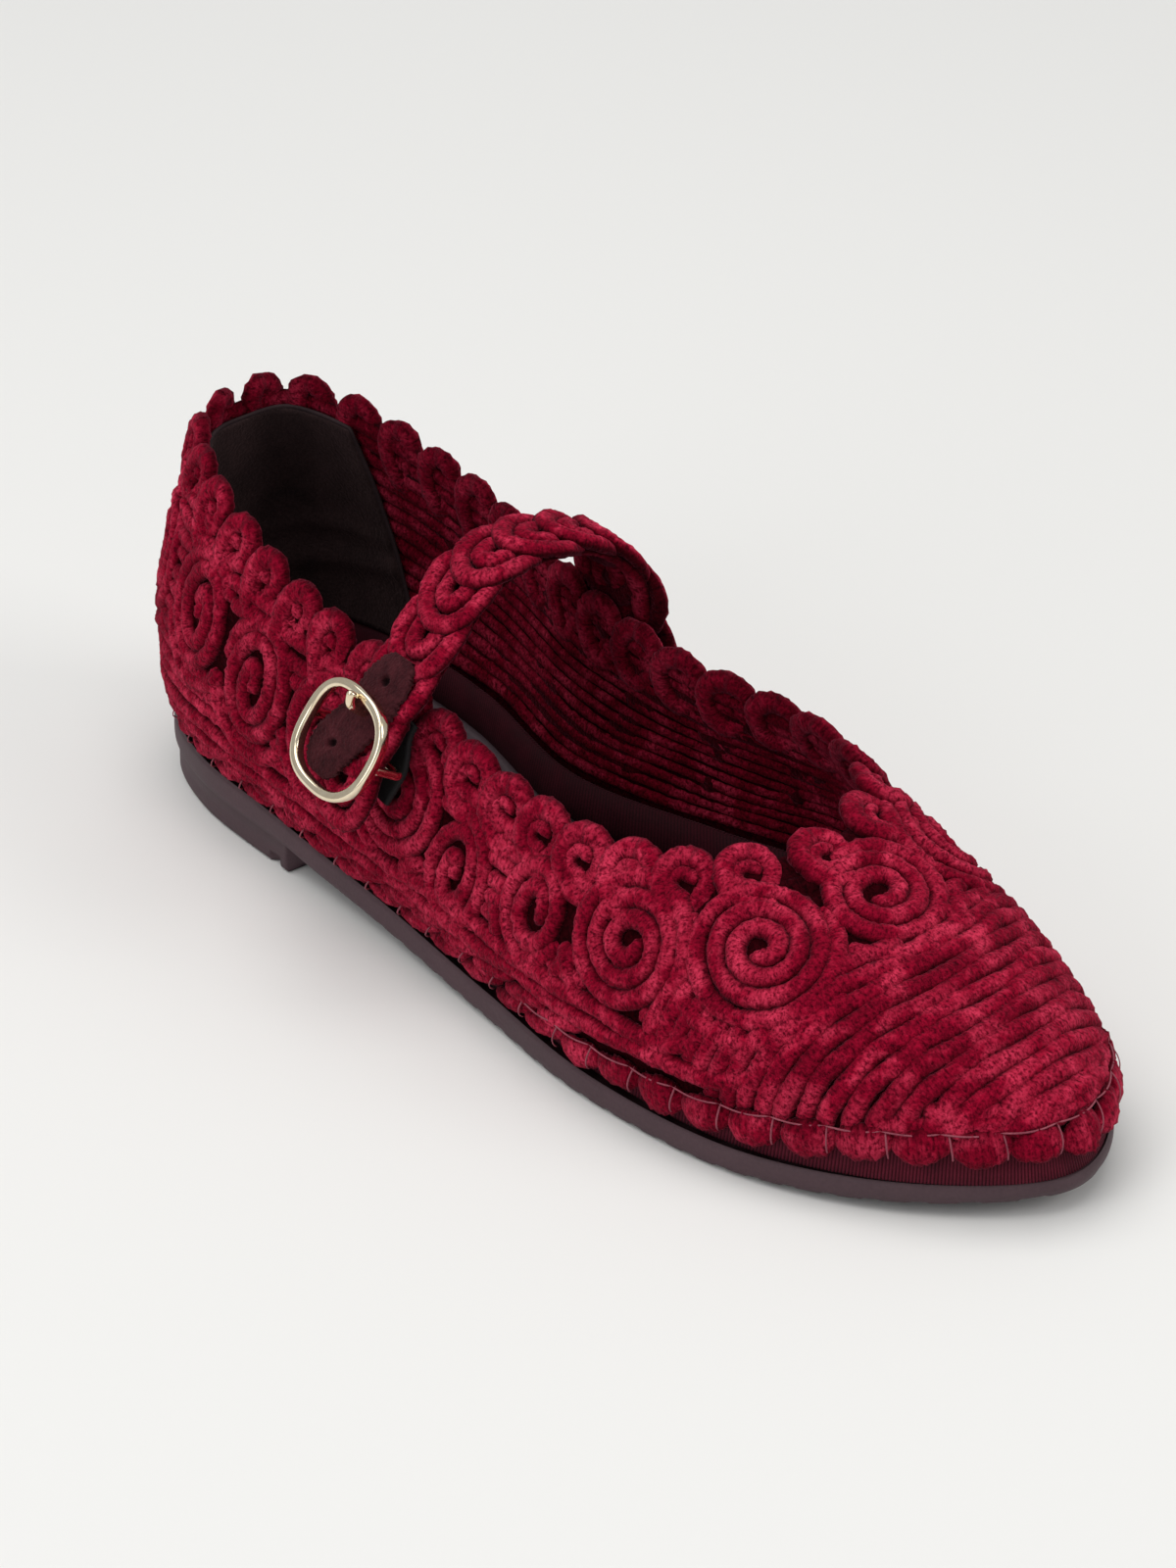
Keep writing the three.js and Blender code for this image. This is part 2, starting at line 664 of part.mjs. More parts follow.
function stripSolid(sections, half) {
  // Thin sheet: each section is its outer points and then its inner points the other way.
  const sides = sections[0].length;
  const faces = [];
  for (let s = 0; s < sections.length - 1; s += 1) {
    for (let i = 0; i < sides; i += 1) {
      const j = (i + 1) % sides;
      const [a, b] = [s * sides + i, s * sides + j];
      faces.push([a, b, b + sides], [a, b + sides, a + sides]);
    }
  }
  [0, (sections.length - 1) * sides].forEach((start, index) => {
    for (let i = 0; i < half - 1; i += 1) {
      const [a, b, c, d] = [i, i + 1, sides - 2 - i, sides - 1 - i].map((k) => start + k);
      const pair = [[a, c, b], [a, d, c]];
      pair.forEach(([p, q, r]) => faces.push(index ? [p, r, q] : [p, q, r]));
    }
  });
  return closedSolid(sections.flat(), faces);
}

// Strap and its fittings

function strapCurve() {
  // Two points on the inner side of the wall, then the free bend.
  const rootColumn = 13.9;
  const stand = strapThick / 2 + loopRise + 3.5 * gap;
  const root = [0.70, 0.88].map((v) => skin(rootColumn, v, -stand));
  const free = strapBend.map(({ out, along, up }) => new THREE.Vector3(out * halfBall,
    along * soleLength, up * collarHigh));
  return new THREE.CatmullRomCurve3([...root, ...free], false, 'centripetal');
}

const strapLine = strapCurve();

function strapFrame(share) {
  // Place on the strap with its directions along, across and out of the top face.
  const along = strapLine.getTangentAt(share);
  const across = new THREE.Vector3(0, 1, 0);
  across.addScaledVector(along, -across.dot(along)).normalize();
  return { point: strapLine.getPointAt(share), along, across, out: across.clone().cross(along).negate() };
}

function onStrap({ point, along, across, out }, ahead, side, height) {
  return point.clone().addScaledVector(along, ahead).addScaledVector(across, side)
    .addScaledVector(out, height);
}

function strapHalfWidth(share) {
  // Narrows from the root to the arch, widens past the buckle and is rounded at its end.
  const mix = THREE.MathUtils.smoothstep;
  const [rootEnds, archStarts] = [0.05, 0.32];
  const [tabStarts, tabFull] = [0.9, 0.95];
  const endRound = 0.75;
  const taper = strapRootWide + (strapWide - strapRootWide) * mix(share, rootEnds, archStarts);
  const tab = taper + (strapTabWide - strapWide) * mix(share, tabStarts, tabFull);
  const toEnd = Math.max(0, (share - tabStarts) / (1 - tabStarts));
  return (tab / 2) * Math.sqrt(1 - endRound * toEnd ** 2);
}

const buckleShare = 0.866; // place of the buckle's middle along the strap
const prongShare = 0.806; // place of the hole that the prong is in

function makeStrap() {
  // Overlapping cord loops: edge and top face swell and sink from loop to loop.
  const stations = 30;
  const edgeSwell = 1.2;
  const [shoulder, furrow] = [0.72, 0.3]; // shares of the half width
  const sections = Array.from({ length: stations + 1 }, (unused, i) => {
    const share = i / stations;
    const frame = strapFrame(share);
    const swell = i % 2 ? 1 : 0;
    const half = strapHalfWidth(share) + (swell - 0.5) * edgeSwell;
    const top = strapThick / 2;
    const low = top - cordRise * 0.6 * (1 - swell);
    return [[-half, 0], [-half * shoulder, low], [-half * furrow, low - cordRise * 0.5],
      [half * furrow, low - cordRise * 0.5], [half * shoulder, low], [half, 0],
      [half * shoulder, -top], [-half * shoulder, -top]]
      .map(([side, height]) => onStrap(frame, 0, side, height));
  });
  return sweepSolid(sections).subtract(strapHole());
}

function strapHole() {
  // A little longer along the strap than across it.
  const radius = prongWire / 2 + gap * 1.5;
  const longer = 1.3;
  const frame = strapFrame(prongShare);
  const reach = 2 * strapThick;
  return sweepSolid([-reach, reach].map((height) => Array.from({ length: ringSides }, (unused, i) => {
    const angle = (2 * Math.PI * i) / ringSides;
    return onStrap(frame, Math.cos(angle) * radius * longer, Math.sin(angle) * radius, height);
  })));
}

function makePatch() {
  // Suede patch along the strap's end, rounded at both ends.
  const [from, to, steps] = [0.7, 0.945, 10];
  const low = strapThick / 2 + gap;
  const endRound = 0.8;
  const sections = Array.from({ length: steps + 1 }, (unused, i) => {
    const ends = Math.abs((2 * i) / steps - 1);
    const half = (patchWide / 2) * Math.sqrt(1 - endRound * ends ** 4);
    const frame = strapFrame(from + ((to - from) * i) / steps);
    return [[-half, low], [half, low], [half, low + patchThick], [-half, low + patchThick]]
      .map(([side, height]) => onStrap(frame, 0, side, height));
  });
  return sweepSolid(sections).subtract(strapHole());
}

function frameHeight() {
  return strapThick / 2 + gap + patchThick + gap + frameWire / 2;
}

function makeBuckleFrame() {
  // A rounded square of wire over the strap, and the bar under it between two bent legs.
  const frame = strapFrame(buckleShare);
  const steps = 24;
  const halfAcross = (frameWide - frameWire) / 2;
  const halfAlong = (frameLong - frameWire) / 2;
  const square = 0.62; // 1 is an oval
  const turnStep = 0.02;
  const at = (angle) => {
    const squash = (value) => Math.sign(value) * Math.abs(value) ** square;
    return [squash(Math.cos(angle)) * halfAlong, squash(Math.sin(angle)) * halfAcross];
  };
  const bend = 0.006; // over the strap's curve
  const sections = Array.from({ length: steps }, (unused, s) => {
    const angle = (2 * Math.PI * s) / steps;
    const [ahead, side] = at(angle);
    const [nextAhead, nextSide] = at(angle + turnStep);
    const normal = new THREE.Vector2(nextSide - side, ahead - nextAhead).normalize();
    return Array.from({ length: ringSides }, (none, i) => {
      const turn = (2 * Math.PI * i) / ringSides;
      const reach = (Math.cos(turn) * frameWire) / 2;
      return onStrap(frame, ahead + normal.x * reach, side + normal.y * reach,
        frameHeight() + bend * ahead ** 2 + (Math.sin(turn) * frameWire) / 2);
    });
  });
  return loopSolid(sections).add(makeBuckleBar());
}

function barHeight() {
  return -strapThick / 2 - gap - barWire / 2;
}

function makeBuckleBar() {
  const frame = strapFrame(buckleShare);
  const reach = (frameWide - frameWire) / 2;
  const [level, corner] = [barHeight(), 1];
  const route = [[-reach, frameHeight()], [-reach, level + corner], [-reach + corner, level],
    [reach - corner, level], [reach, level + corner], [reach, frameHeight()]];
  const sections = route.map(([side, height], i) => {
    const before = route[Math.max(i - 1, 0)];
    const after = route[Math.min(i + 1, route.length - 1)];
    const ahead = new THREE.Vector2(after[0] - before[0], after[1] - before[1]).normalize();
    return Array.from({ length: ringSides }, (unused, k) => {
      const turn = (2 * Math.PI * k) / ringSides;
      const out = (Math.cos(turn) * barWire) / 2;
      return onStrap(frame, (Math.sin(turn) * barWire) / 2, side - ahead.y * out, height + ahead.x * out);
    });
  });
  return sweepSolid(sections);
}

function makeProng() {
  // From the bar up through the strap's hole and over the frame's upper edge.
  const frame = strapFrame(buckleShare);
  const hole = strapFrame(prongShare).point.clone().sub(frame.point).dot(frame.along);
  const arch = 1.1; // over the frame's own bend
  const rest = frameHeight() + frameWire / 2 + gap + prongWire / 2 + arch;
  const tip = -frameLong / 2 + frameWire * 0.4;
  const [overBar, overStrap, bendLong, bendTall] = [0.6, 0.6, 3, 1.2];
  const route = [[hole + 0.3, barHeight() + overBar], [hole, -0.5],
    [hole - 0.2, strapThick / 2 + overStrap], [hole - bendTall, rest - bendTall],
    [hole - bendLong, rest], [tip, rest]];
  const sections = route.map(([ahead, height], i) => {
    const before = route[Math.max(i - 1, 0)];
    const after = route[Math.min(i + 1, route.length - 1)];
    const way = new THREE.Vector2(after[0] - before[0], after[1] - before[1]).normalize();
    return Array.from({ length: ringSides }, (unused, k) => {
      const turn = (2 * Math.PI * k) / ringSides;
      const out = (Math.cos(turn) * prongWire) / 2;
      return onStrap(frame, ahead - way.y * out, (Math.sin(turn) * prongWire) / 2, height + way.x * out);
    });
  });
  return sweepSolid(sections);
}

function makeElastic() {
  // Webbing from the outer side of the collar down to the buckle's bar, behind the strap.
  const frame = strapFrame(buckleShare);
  const half = elasticWide / 2;
  const underBar = barHeight() - barWire / 2 - 2.5 * gap - elasticThick / 2;
  const foot = onStrap(frame, 0, 0, underBar);
  const rootHeight = 0.87;
  const rootAhead = 1.5;
  const rootColumn = bisect((u) => lastPoint(u, rootHeight).y > foot.y + rootAhead, 3, 6);
  const stand = 3.2 * loopRise + gap + elasticThick / 2;
  const pastBar = 4;
  const curve = new THREE.CatmullRomCurve3([
    skin(rootColumn, rootHeight, -stand),
    foot,
    foot.clone().addScaledVector(frame.along, pastBar),
  ], false, 'centripetal');
  const steps = 6;
  const sections = Array.from({ length: steps + 1 }, (unused, i) => {
    const along = curve.getTangentAt(i / steps);
    const across = new THREE.Vector3(0, 1, 0);
    across.addScaledVector(along, -across.dot(along)).normalize();
    const out = across.clone().cross(along).negate();
    const here = { point: curve.getPointAt(i / steps), along, across, out };
    return [[-half, -1], [half, -1], [half, 1], [-half, 1]]
      .map(([side, face]) => onStrap(here, 0, side, (face * elasticThick) / 2));
  });
  return sweepSolid(sections);
}

// Assembly

const looks = {
  chenille: { color: 0x8c1428, roughness: 0.9, metalness: 0 },
  rubber: { color: 0x4b343c, roughness: 0.7, metalness: 0 },
  insole: { color: 0x4a3039, roughness: 0.75, metalness: 0 },
  ribbon: { color: 0x4c1424, roughness: 0.8, metalness: 0 },
  lining: { color: 0x1e1618, roughness: 0.95, metalness: 0 },
  suede: { color: 0x431b24, roughness: 0.95, metalness: 0 },
  gold: { color: 0xd8c29a, roughness: 0.2, metalness: 1 },
  elastic: { color: 0x101011, roughness: 0.8, metalness: 0 },
};

const pieces = [
  ['outsole', makeOutsole, looks.rubber],
  ['insole', makeInsole, looks.insole],
  ['ribbon_band', makeRibbon, looks.ribbon],
  ['upper', makeUpper, looks.chenille],
  ['heel_lining', makeHeelLining, looks.lining],
  ['strap', makeStrap, looks.chenille],
  ['strap_patch', makePatch, looks.suede],
  ['buckle_frame', makeBuckleFrame, looks.gold],
  ['buckle_prong', makeProng, looks.gold],
  ['elastic_loop', makeElastic, looks.elastic],
];

const shoe = new THREE.Group();
pieces.forEach(([name, make, look]) => shoe.add(meshOf(name, make(), look)));

// The origin is on the floor under the middle of the whole shoe.
const box = new THREE.Box3().setFromObject(shoe);
const centre = box.getCenter(new THREE.Vector3());
shoe.children.forEach((mesh) => mesh.geometry.translate(-centre.x, -centre.y, 0));

export default shoe;
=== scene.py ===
import math

import bpy
import numpy as np
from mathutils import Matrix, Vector


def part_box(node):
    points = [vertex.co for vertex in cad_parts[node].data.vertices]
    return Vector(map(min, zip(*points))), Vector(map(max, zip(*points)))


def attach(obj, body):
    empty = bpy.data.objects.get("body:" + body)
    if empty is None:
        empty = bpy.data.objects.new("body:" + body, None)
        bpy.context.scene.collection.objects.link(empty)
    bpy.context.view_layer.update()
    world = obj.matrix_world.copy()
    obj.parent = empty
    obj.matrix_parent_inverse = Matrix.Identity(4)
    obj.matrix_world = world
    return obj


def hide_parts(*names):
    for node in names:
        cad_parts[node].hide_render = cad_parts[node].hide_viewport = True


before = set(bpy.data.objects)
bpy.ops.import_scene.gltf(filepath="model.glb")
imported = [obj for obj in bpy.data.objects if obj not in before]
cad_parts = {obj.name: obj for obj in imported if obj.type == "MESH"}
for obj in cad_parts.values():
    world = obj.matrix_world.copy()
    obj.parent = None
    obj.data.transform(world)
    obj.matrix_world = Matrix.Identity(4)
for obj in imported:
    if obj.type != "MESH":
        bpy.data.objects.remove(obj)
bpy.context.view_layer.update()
pile = np.random.default_rng(38)
mm = 0.001
fullTurn = 2 * math.pi
print("frame loaded")

# camera and room, in metres

cameraView = {
    "place": (0.6118, 0.7520, 0.5919),
    "aim": (-0.004, -0.006, 0.034),
    "lens": 132.0,
    "sensor": 36.0,
    "farthest": 50.0,
}

room = {
    "floorHalf": 4.5,
    "floorTone": (0.80, 0.80, 0.785),
    "paler": 1.015,
    "airTone": (0.93, 0.94, 0.95),
    "airLight": 0.44,
}

softBoxes = {  # place, aim, side, power, tone
    "topSoftBox": ((0.25, -0.15, 1.5), (0, 0, 0), 1.6, 16.5, (1.0, 0.985, 0.97)),
    "toeSoftBox": ((-0.75, 1.35, 0.95), (0, 0, 0.03), 0.9, 8.0, (1.0, 0.98, 0.96)),
    "sideSoftBox": ((1.5, 0.1, 0.75), (0, 0, 0.03), 0.9, 5.0, (0.97, 0.985, 1.0)),
}


def standAt(name, data, place, aim):
    thing = bpy.data.objects.new(name, data)
    bpy.context.scene.collection.objects.link(thing)
    thing.location = place
    thing.rotation_euler = (Vector(aim) - Vector(place)).to_track_quat("-Z", "Y").to_euler()
    return thing


def setCamera():
    data = bpy.data.cameras.new("shoeCamera")
    data.lens = cameraView["lens"]
    data.sensor_width = cameraView["sensor"]
    data.clip_end = cameraView["farthest"]
    camera = standAt("shoeCamera", data, cameraView["place"], cameraView["aim"])
    bpy.context.scene.camera = camera


def setLights():
    for name, (place, aim, side, power, tone) in softBoxes.items():
        data = bpy.data.lights.new(name, "AREA")
        data.shape = "RECTANGLE"
        data.size = data.size_y = side
        data.energy = power
        data.color = tone
        standAt(name, data, place, aim)
    world = bpy.data.worlds.new("studioAir")
    bpy.context.scene.world = world
    world.use_nodes = True
    air = world.node_tree.nodes["Background"]
    air.inputs["Color"].default_value = (*room["airTone"], 1)
    air.inputs["Strength"].default_value = room["airLight"]


setCamera()
setLights()
bpy.context.scene.view_settings.view_transform = "Standard"
print("camera and lights set")

# sizes of the shoe, in millimetres from the heel's end

shoe = {
    "soleLength": 252.0,
    "halfBall": 42.0,
    "collarHigh": 80.0,
    "heelRubber": 12.5,
    "heelLong": 62.0,
    "archRise": 6.1,
    "toeSpring": 4.5,
    "wallThick": 3.6,
    "cordWide": 4.2,
    "ribbonShow": 9.0,
    "ribbonHidden": 9.5,
    "ribbonThick": 1.2,
    "ribbonLean": 2.9,
    "insoleThick": 3.0,
    "liningThick": 1.2,
    "loopCount": 37,
    "loopRise": 0.5,
    "gap": 0.3,
}

# along, out, topAlong, topOut, topUp, swell, rise, reach, drop for each section round the last
lastTable = np.array([
    [0.000, -0.03, 0.018, 0.00, 1.000, 0.088, 0.288, 0.075, 0.250],
    [0.030, 0.48, 0.040, 0.33, 1.000, 0.100, 0.263, 0.075, 0.250],
    [0.115, 0.72, 0.125, 0.60, 0.950, 0.113, 0.238, 0.063, 0.238],
    [0.240, 0.78, 0.245, 0.68, 0.838, 0.100, 0.213, 0.038, 0.200],
    [0.380, 0.80, 0.365, 0.64, 0.738, 0.081, 0.188, 0.025, 0.163],
    [0.520, 0.86, 0.475, 0.65, 0.650, 0.069, 0.175, 0.031, 0.150],
    [0.660, 0.92, 0.585, 0.62, 0.625, 0.063, 0.175, 0.075, 0.113],
    [0.810, 0.79, 0.665, 0.45, 0.638, 0.063, 0.175, 0.175, 0.113],
    [0.930, 0.39, 0.700, 0.22, 0.650, 0.075, 0.175, 0.350, 0.113],
    [0.997, -0.18, 0.715, -0.06, 0.663, 0.100, 0.175, 0.438, 0.138],
    [0.940, -0.72, 0.705, -0.36, 0.688, 0.075, 0.175, 0.288, 0.125],
    [0.830, -0.93, 0.665, -0.60, 0.700, 0.050, 0.175, 0.113, 0.125],
    [0.680, -0.98, 0.580, -0.68, 0.700, 0.063, 0.175, 0.044, 0.125],
    [0.520, -0.66, 0.480, -0.56, 0.725, 0.075, 0.175, 0.019, 0.150],
    [0.380, -0.44, 0.370, -0.53, 0.775, 0.075, 0.200, 0.025, 0.163],
    [0.240, -0.55, 0.235, -0.60, 0.850, 0.075, 0.250, 0.038, 0.200],
    [0.115, -0.56, 0.115, -0.49, 0.950, 0.063, 0.288, 0.063, 0.238],
    [0.030, -0.42, 0.035, -0.30, 1.000, 0.063, 0.300, 0.088, 0.250],
])
sections = len(lastTable)
toeSection = sections / 2
slopeStep = 0.01

# along, rubber, foot, ribbon along the sole
heightTable = np.array([
    [-0.05, 1.00, 1.20, 0.00],
    [0.20, 0.98, 1.08, 0.00],
    [0.35, 0.76, 0.84, 0.00],
    [0.50, 0.56, 0.68, 0.28],
    [0.66, 0.46, 0.56, 0.50],
    [0.80, 0.46, 0.58, 0.67],
    [0.92, 0.56, 0.72, 0.89],
    [1.05, 0.72, 0.88, 1.00],
])


def smooth(value, low, high):
    share = np.clip((np.asarray(value, float) - low) / (high - low), 0, 1)
    return share * share * (3 - 2 * share)


def wave(u, size, rate, start):
    return size * np.sin(u * rate + start)


def unit(vectors):
    return vectors / np.maximum(np.linalg.norm(vectors, axis=-1, keepdims=True), 1e-9)


def wayAlong(points):
    # length of the line up to each point
    return np.concatenate([[0], np.cumsum(np.linalg.norm(np.diff(points, axis=0), axis=1))])


def halve(low, high, rounds, passed):
    # narrows low and high to the place from which passed is true
    for _ in range(rounds):
        half = (low + high) / 2
        hit = passed(half)
        low, high = np.where(hit, low, half), np.where(hit, half, high)
    return low, high


def lastRow(u):
    u = np.asarray(u, float)
    whole = np.floor(u).astype(int)
    t = (u - whole)[..., None]
    a, b, c, d = (lastTable[(whole + k) % sections] for k in (-1, 0, 1, 2))
    return 0.5 * (2 * b + (c - a) * t + (2 * a - 5 * b + 4 * c - d) * t**2
                  + (3 * b - a - 3 * c + d) * t**3)


def soleHeights(y):
    # top of the rubber, foot of the last's wall, share of the ribbon that shows
    along = np.asarray(y, float) / shoe["soleLength"]
    xs = heightTable[:, 0]
    i = np.clip(np.searchsorted(xs[1:-1], along), 0, len(xs) - 2)
    before, after = np.maximum(i - 1, 0), np.minimum(i + 2, len(xs) - 1)
    span = xs[i + 1] - xs[i]
    t = np.clip((along - xs[i]) / span, 0, 1)
    out = []
    for h in heightTable.T[1:]:
        slopeHere = (h[i + 1] - h[before]) / (xs[i + 1] - xs[before])
        slopeNext = (h[after] - h[i]) / (xs[after] - xs[i])
        out.append(h[i] + (h[i + 1] - h[i]) * t * t * (3 - 2 * t)
                   + span * t * (1 - t) * ((1 - t) * slopeHere - t * slopeNext))
    return out[0] * shoe["heelRubber"], out[1] * shoe["heelRubber"], np.maximum(out[2], 0)


def outlineAt(u, inset=0.0):
    # point on the sole's edge and the way out from it
    row = lastRow(u)
    ahead = lastRow(np.asarray(u) + slopeStep) - lastRow(np.asarray(u) - slopeStep)
    flat = np.zeros(row.shape[:-1])
    way = unit(np.stack([ahead[..., 0] * shoe["soleLength"], -ahead[..., 1] * shoe["halfBall"],
                         flat], -1))
    point = np.stack([row[..., 1] * shoe["halfBall"], row[..., 0] * shoe["soleLength"], flat], -1)
    return point - way * np.asarray(inset)[..., None], way


def lastPoint(u, v):
    # the last's surface, v from the foot of the wall to the topline
    u, v = np.broadcast_arrays(np.asarray(u, float), np.asarray(v, float))
    row = lastRow(u)
    foot, way = outlineAt(u)
    foot[..., 2] = soleHeights(foot[..., 1])[1]
    high = shoe["collarHigh"]
    top = np.stack([row[..., 3] * shoe["halfBall"], row[..., 2] * shoe["soleLength"],
                    row[..., 4] * high], -1)
    lower = foot + way * (row[..., 5:6] * high)
    lower[..., 2] += row[..., 6] * high
    upper = top + way * (row[..., 7:8] * high)
    upper[..., 2] -= row[..., 8] * high
    v = v[..., None]
    w = 1 - v
    return foot * w**3 + lower * 3 * w * w * v + upper * 3 * w * v * v + top * v**3


def tangentsAt(u, v):
    around = (lastPoint(u + slopeStep, v) - lastPoint(u - slopeStep, v)) / (2 * slopeStep)
    up = (lastPoint(u, v + slopeStep) - lastPoint(u, v - slopeStep)) / (2 * slopeStep)
    return around, up, unit(np.cross(around, up))


def planeAt(u, v):
    # ways across, up and out at one place on the wall
    around, _, normal = tangentsAt(np.array([u], float), np.array([v], float))
    across = unit(around)[0]
    return across, np.cross(normal[0], across), normal[0]


def skin(u, v, depth):
    # points this deep under the cord crests, and the wall's normals there
    u, v = np.broadcast_arrays(np.asarray(u, float), np.asarray(v, float))
    normal = tangentsAt(u, v)[2]
    return lastPoint(u, v) - normal * np.broadcast_to(depth, u.shape)[..., None], normal


def surfacePlace(u, v, across, up):
    # column and height of points that lie across and up from one place, in millimetres
    unitAcross, unitUp, _ = planeAt(u, v)
    target = lastPoint(u, v) + across[:, None] * unitAcross + up[:, None] * unitUp
    us, vs = np.full(len(across), float(u)), np.full(len(across), float(v))
    for _ in range(5):
        miss = target - lastPoint(us, vs)
        a, r, _ = tangentsAt(us, vs)
        m0, m1, m2, m3 = a @ unitAcross, r @ unitAcross, a @ unitUp, r @ unitUp
        x, y = miss @ unitAcross, miss @ unitUp
        scale = m0 * m3 - m1 * m2
        us = us + (x * m3 - y * m1) / scale
        vs = vs + (y * m0 - x * m2) / scale
    return us, vs


class WallTable:
    # way up the wall from the upper's lower edge, for every column
    columns = 720
    samples = 48
    step = 0.5
    beyond = 4.0

    def __init__(self):
        u = np.arange(self.columns) / self.columns * sections
        rubber, _, share = soleHeights(outlineAt(u)[0][:, 1])
        edgeHigh = rubber + shoe["gap"] + share * shoe["ribbonShow"]
        low, high = halve(np.full(len(u), -0.3), np.full(len(u), 0.6), 30,
                          lambda v: lastPoint(u, v)[:, 2] > edgeHigh)
        self.edge = (low + high) / 2
        v = self.edge[:, None] + (1 - self.edge)[:, None] * np.linspace(0, 1, self.samples + 1)
        lengths = np.stack([wayAlong(line) for line in lastPoint(u[:, None], v)])
        self.total = lengths[:, -1]
        self.ways = np.arange(-self.beyond, self.total.max() + self.beyond, self.step)
        self.places = np.stack([self.placesAlong(*pair) for pair in zip(lengths, v)])

    def placesAlong(self, lengths, v):
        inside = np.interp(self.ways, lengths, v)
        below = v[0] + self.ways * (v[1] - v[0]) / lengths[1]
        above = 1 + (self.ways - lengths[-1]) * (v[-1] - v[-2]) / (lengths[-1] - lengths[-2])
        return np.where(self.ways < 0, below, np.where(self.ways > lengths[-1], above, inside))

    def columnsAt(self, u):
        at = (np.asarray(u, float) % sections) / sections * self.columns
        i = np.floor(at).astype(int) % self.columns
        return i, (i + 1) % self.columns, at - np.floor(at)

    def placeUp(self, u, way):
        u, way = np.broadcast_arrays(np.asarray(u, float), np.asarray(way, float))
        i, j, t = self.columnsAt(u)
        step = np.clip((way - self.ways[0]) / self.step, 0, len(self.ways) - 1.001)
        k = np.floor(step).astype(int)
        s = step - k
        first, second = (self.places[c, k] * (1 - s) + self.places[c, k + 1] * s for c in (i, j))
        return first * (1 - t) + second * t

    def edgeAt(self, u):
        i, j, t = self.columnsAt(u)
        return self.edge[i] * (1 - t) + self.edge[j] * t

    def totalAt(self, u):
        i, j, t = self.columnsAt(u)
        return self.total[i] * (1 - t) + self.total[j] * t


wall = WallTable()
outline = outlineAt(np.linspace(0, sections, 3600))[0]
soleLow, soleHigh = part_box("outsole")
middle = np.array([outline[:, 0].max() - soleHigh.x / mm, outline[:, 1].min() - soleLow.y / mm, 0.0])
print("last measured, middle of the shoe at", middle.round(2))

# shader nodes


class NodeBoard:
    # short ways to add and join the nodes of one tree
    def __init__(self, tree):
        self.tree = tree

    def add(self, kind, **settings):
        node = self.tree.nodes.new("ShaderNode" + kind)
        for label, value in settings.items():
            setattr(node, label, value)
        return node

    def give(self, value, socket):
        # a link, a number or a colour into a socket
        if isinstance(value, bpy.types.NodeSocket):
            self.tree.links.new(value, socket)
        else:
            socket.default_value = (*value, 1) if isinstance(value, tuple) else value

    def fill(self, node, values):
        for label, value in values.items():
            self.give(value, node.inputs[label])
        return node

    def place(self):
        return self.add("TexCoord").outputs["Object"]

    def mark(self, label):
        # a value that the mesh carries at its points
        return self.add("Attribute", attribute_name=label).outputs["Fac"]

    def noise(self, coords, scale, detail=2.0, roughness=0.5, distortion=0.0):
        return self.fill(self.add("TexNoise"), {
            "Vector": coords, "Scale": scale, "Detail": detail, "Roughness": roughness,
            "Distortion": distortion}).outputs["Fac"]

    def ramp(self, value, fromLow, fromHigh, toLow=0.0, toHigh=1.0):
        return self.fill(self.add("MapRange"), {
            "Value": value, "From Min": fromLow, "From Max": fromHigh, "To Min": toLow,
            "To Max": toHigh}).outputs["Result"]

    def mix(self, factor, first, second, mode="MIX"):
        node = self.add("Mix", data_type="RGBA", blend_type=mode)
        share = [s for s in node.inputs if s.type == "VALUE"][0]
        colours = [s for s in node.inputs if s.type == "RGBA"]
        for value, socket in zip((factor, first, second), (share, *colours)):
            self.give(value, socket)
        return [s for s in node.outputs if s.type == "RGBA"][0]

    def maths(self, operation, first, second):
        node = self.add("Math", operation=operation)
        self.give(first, node.inputs[0])
        self.give(second, node.inputs[1])
        return node.outputs[0]

    def shade(self, colour, light):
        # colour darkened by a mask
        grey = self.add("CombineColor")
        for socket in grey.inputs:
            self.give(light, socket)
        return self.mix(1.0, colour, grey.outputs[0], "MULTIPLY")

    def bump(self, shader, height, strength, distance):
        node = self.fill(self.add("Bump"), {"Strength": strength, "Distance": distance,
                                            "Height": height})
        self.give(node.outputs["Normal"], shader.inputs["Normal"])


def newGroup(name, colours, numbers, outputs):
    group = bpy.data.node_groups.new(name, "ShaderNodeTree")
    for kind, labels in (("NodeSocketColor", colours), ("NodeSocketFloat", numbers)):
        for label in labels:
            group.interface.new_socket(name=label, in_out="INPUT", socket_type=kind)
    for label in outputs:
        kind = "NodeSocketColor" if label == "Color" else "NodeSocketFloat"
        group.interface.new_socket(name=label, in_out="OUTPUT", socket_type=kind)
    given, made = group.nodes.new("NodeGroupInput"), group.nodes.new("NodeGroupOutput")
    return group, NodeBoard(group), given.outputs, made


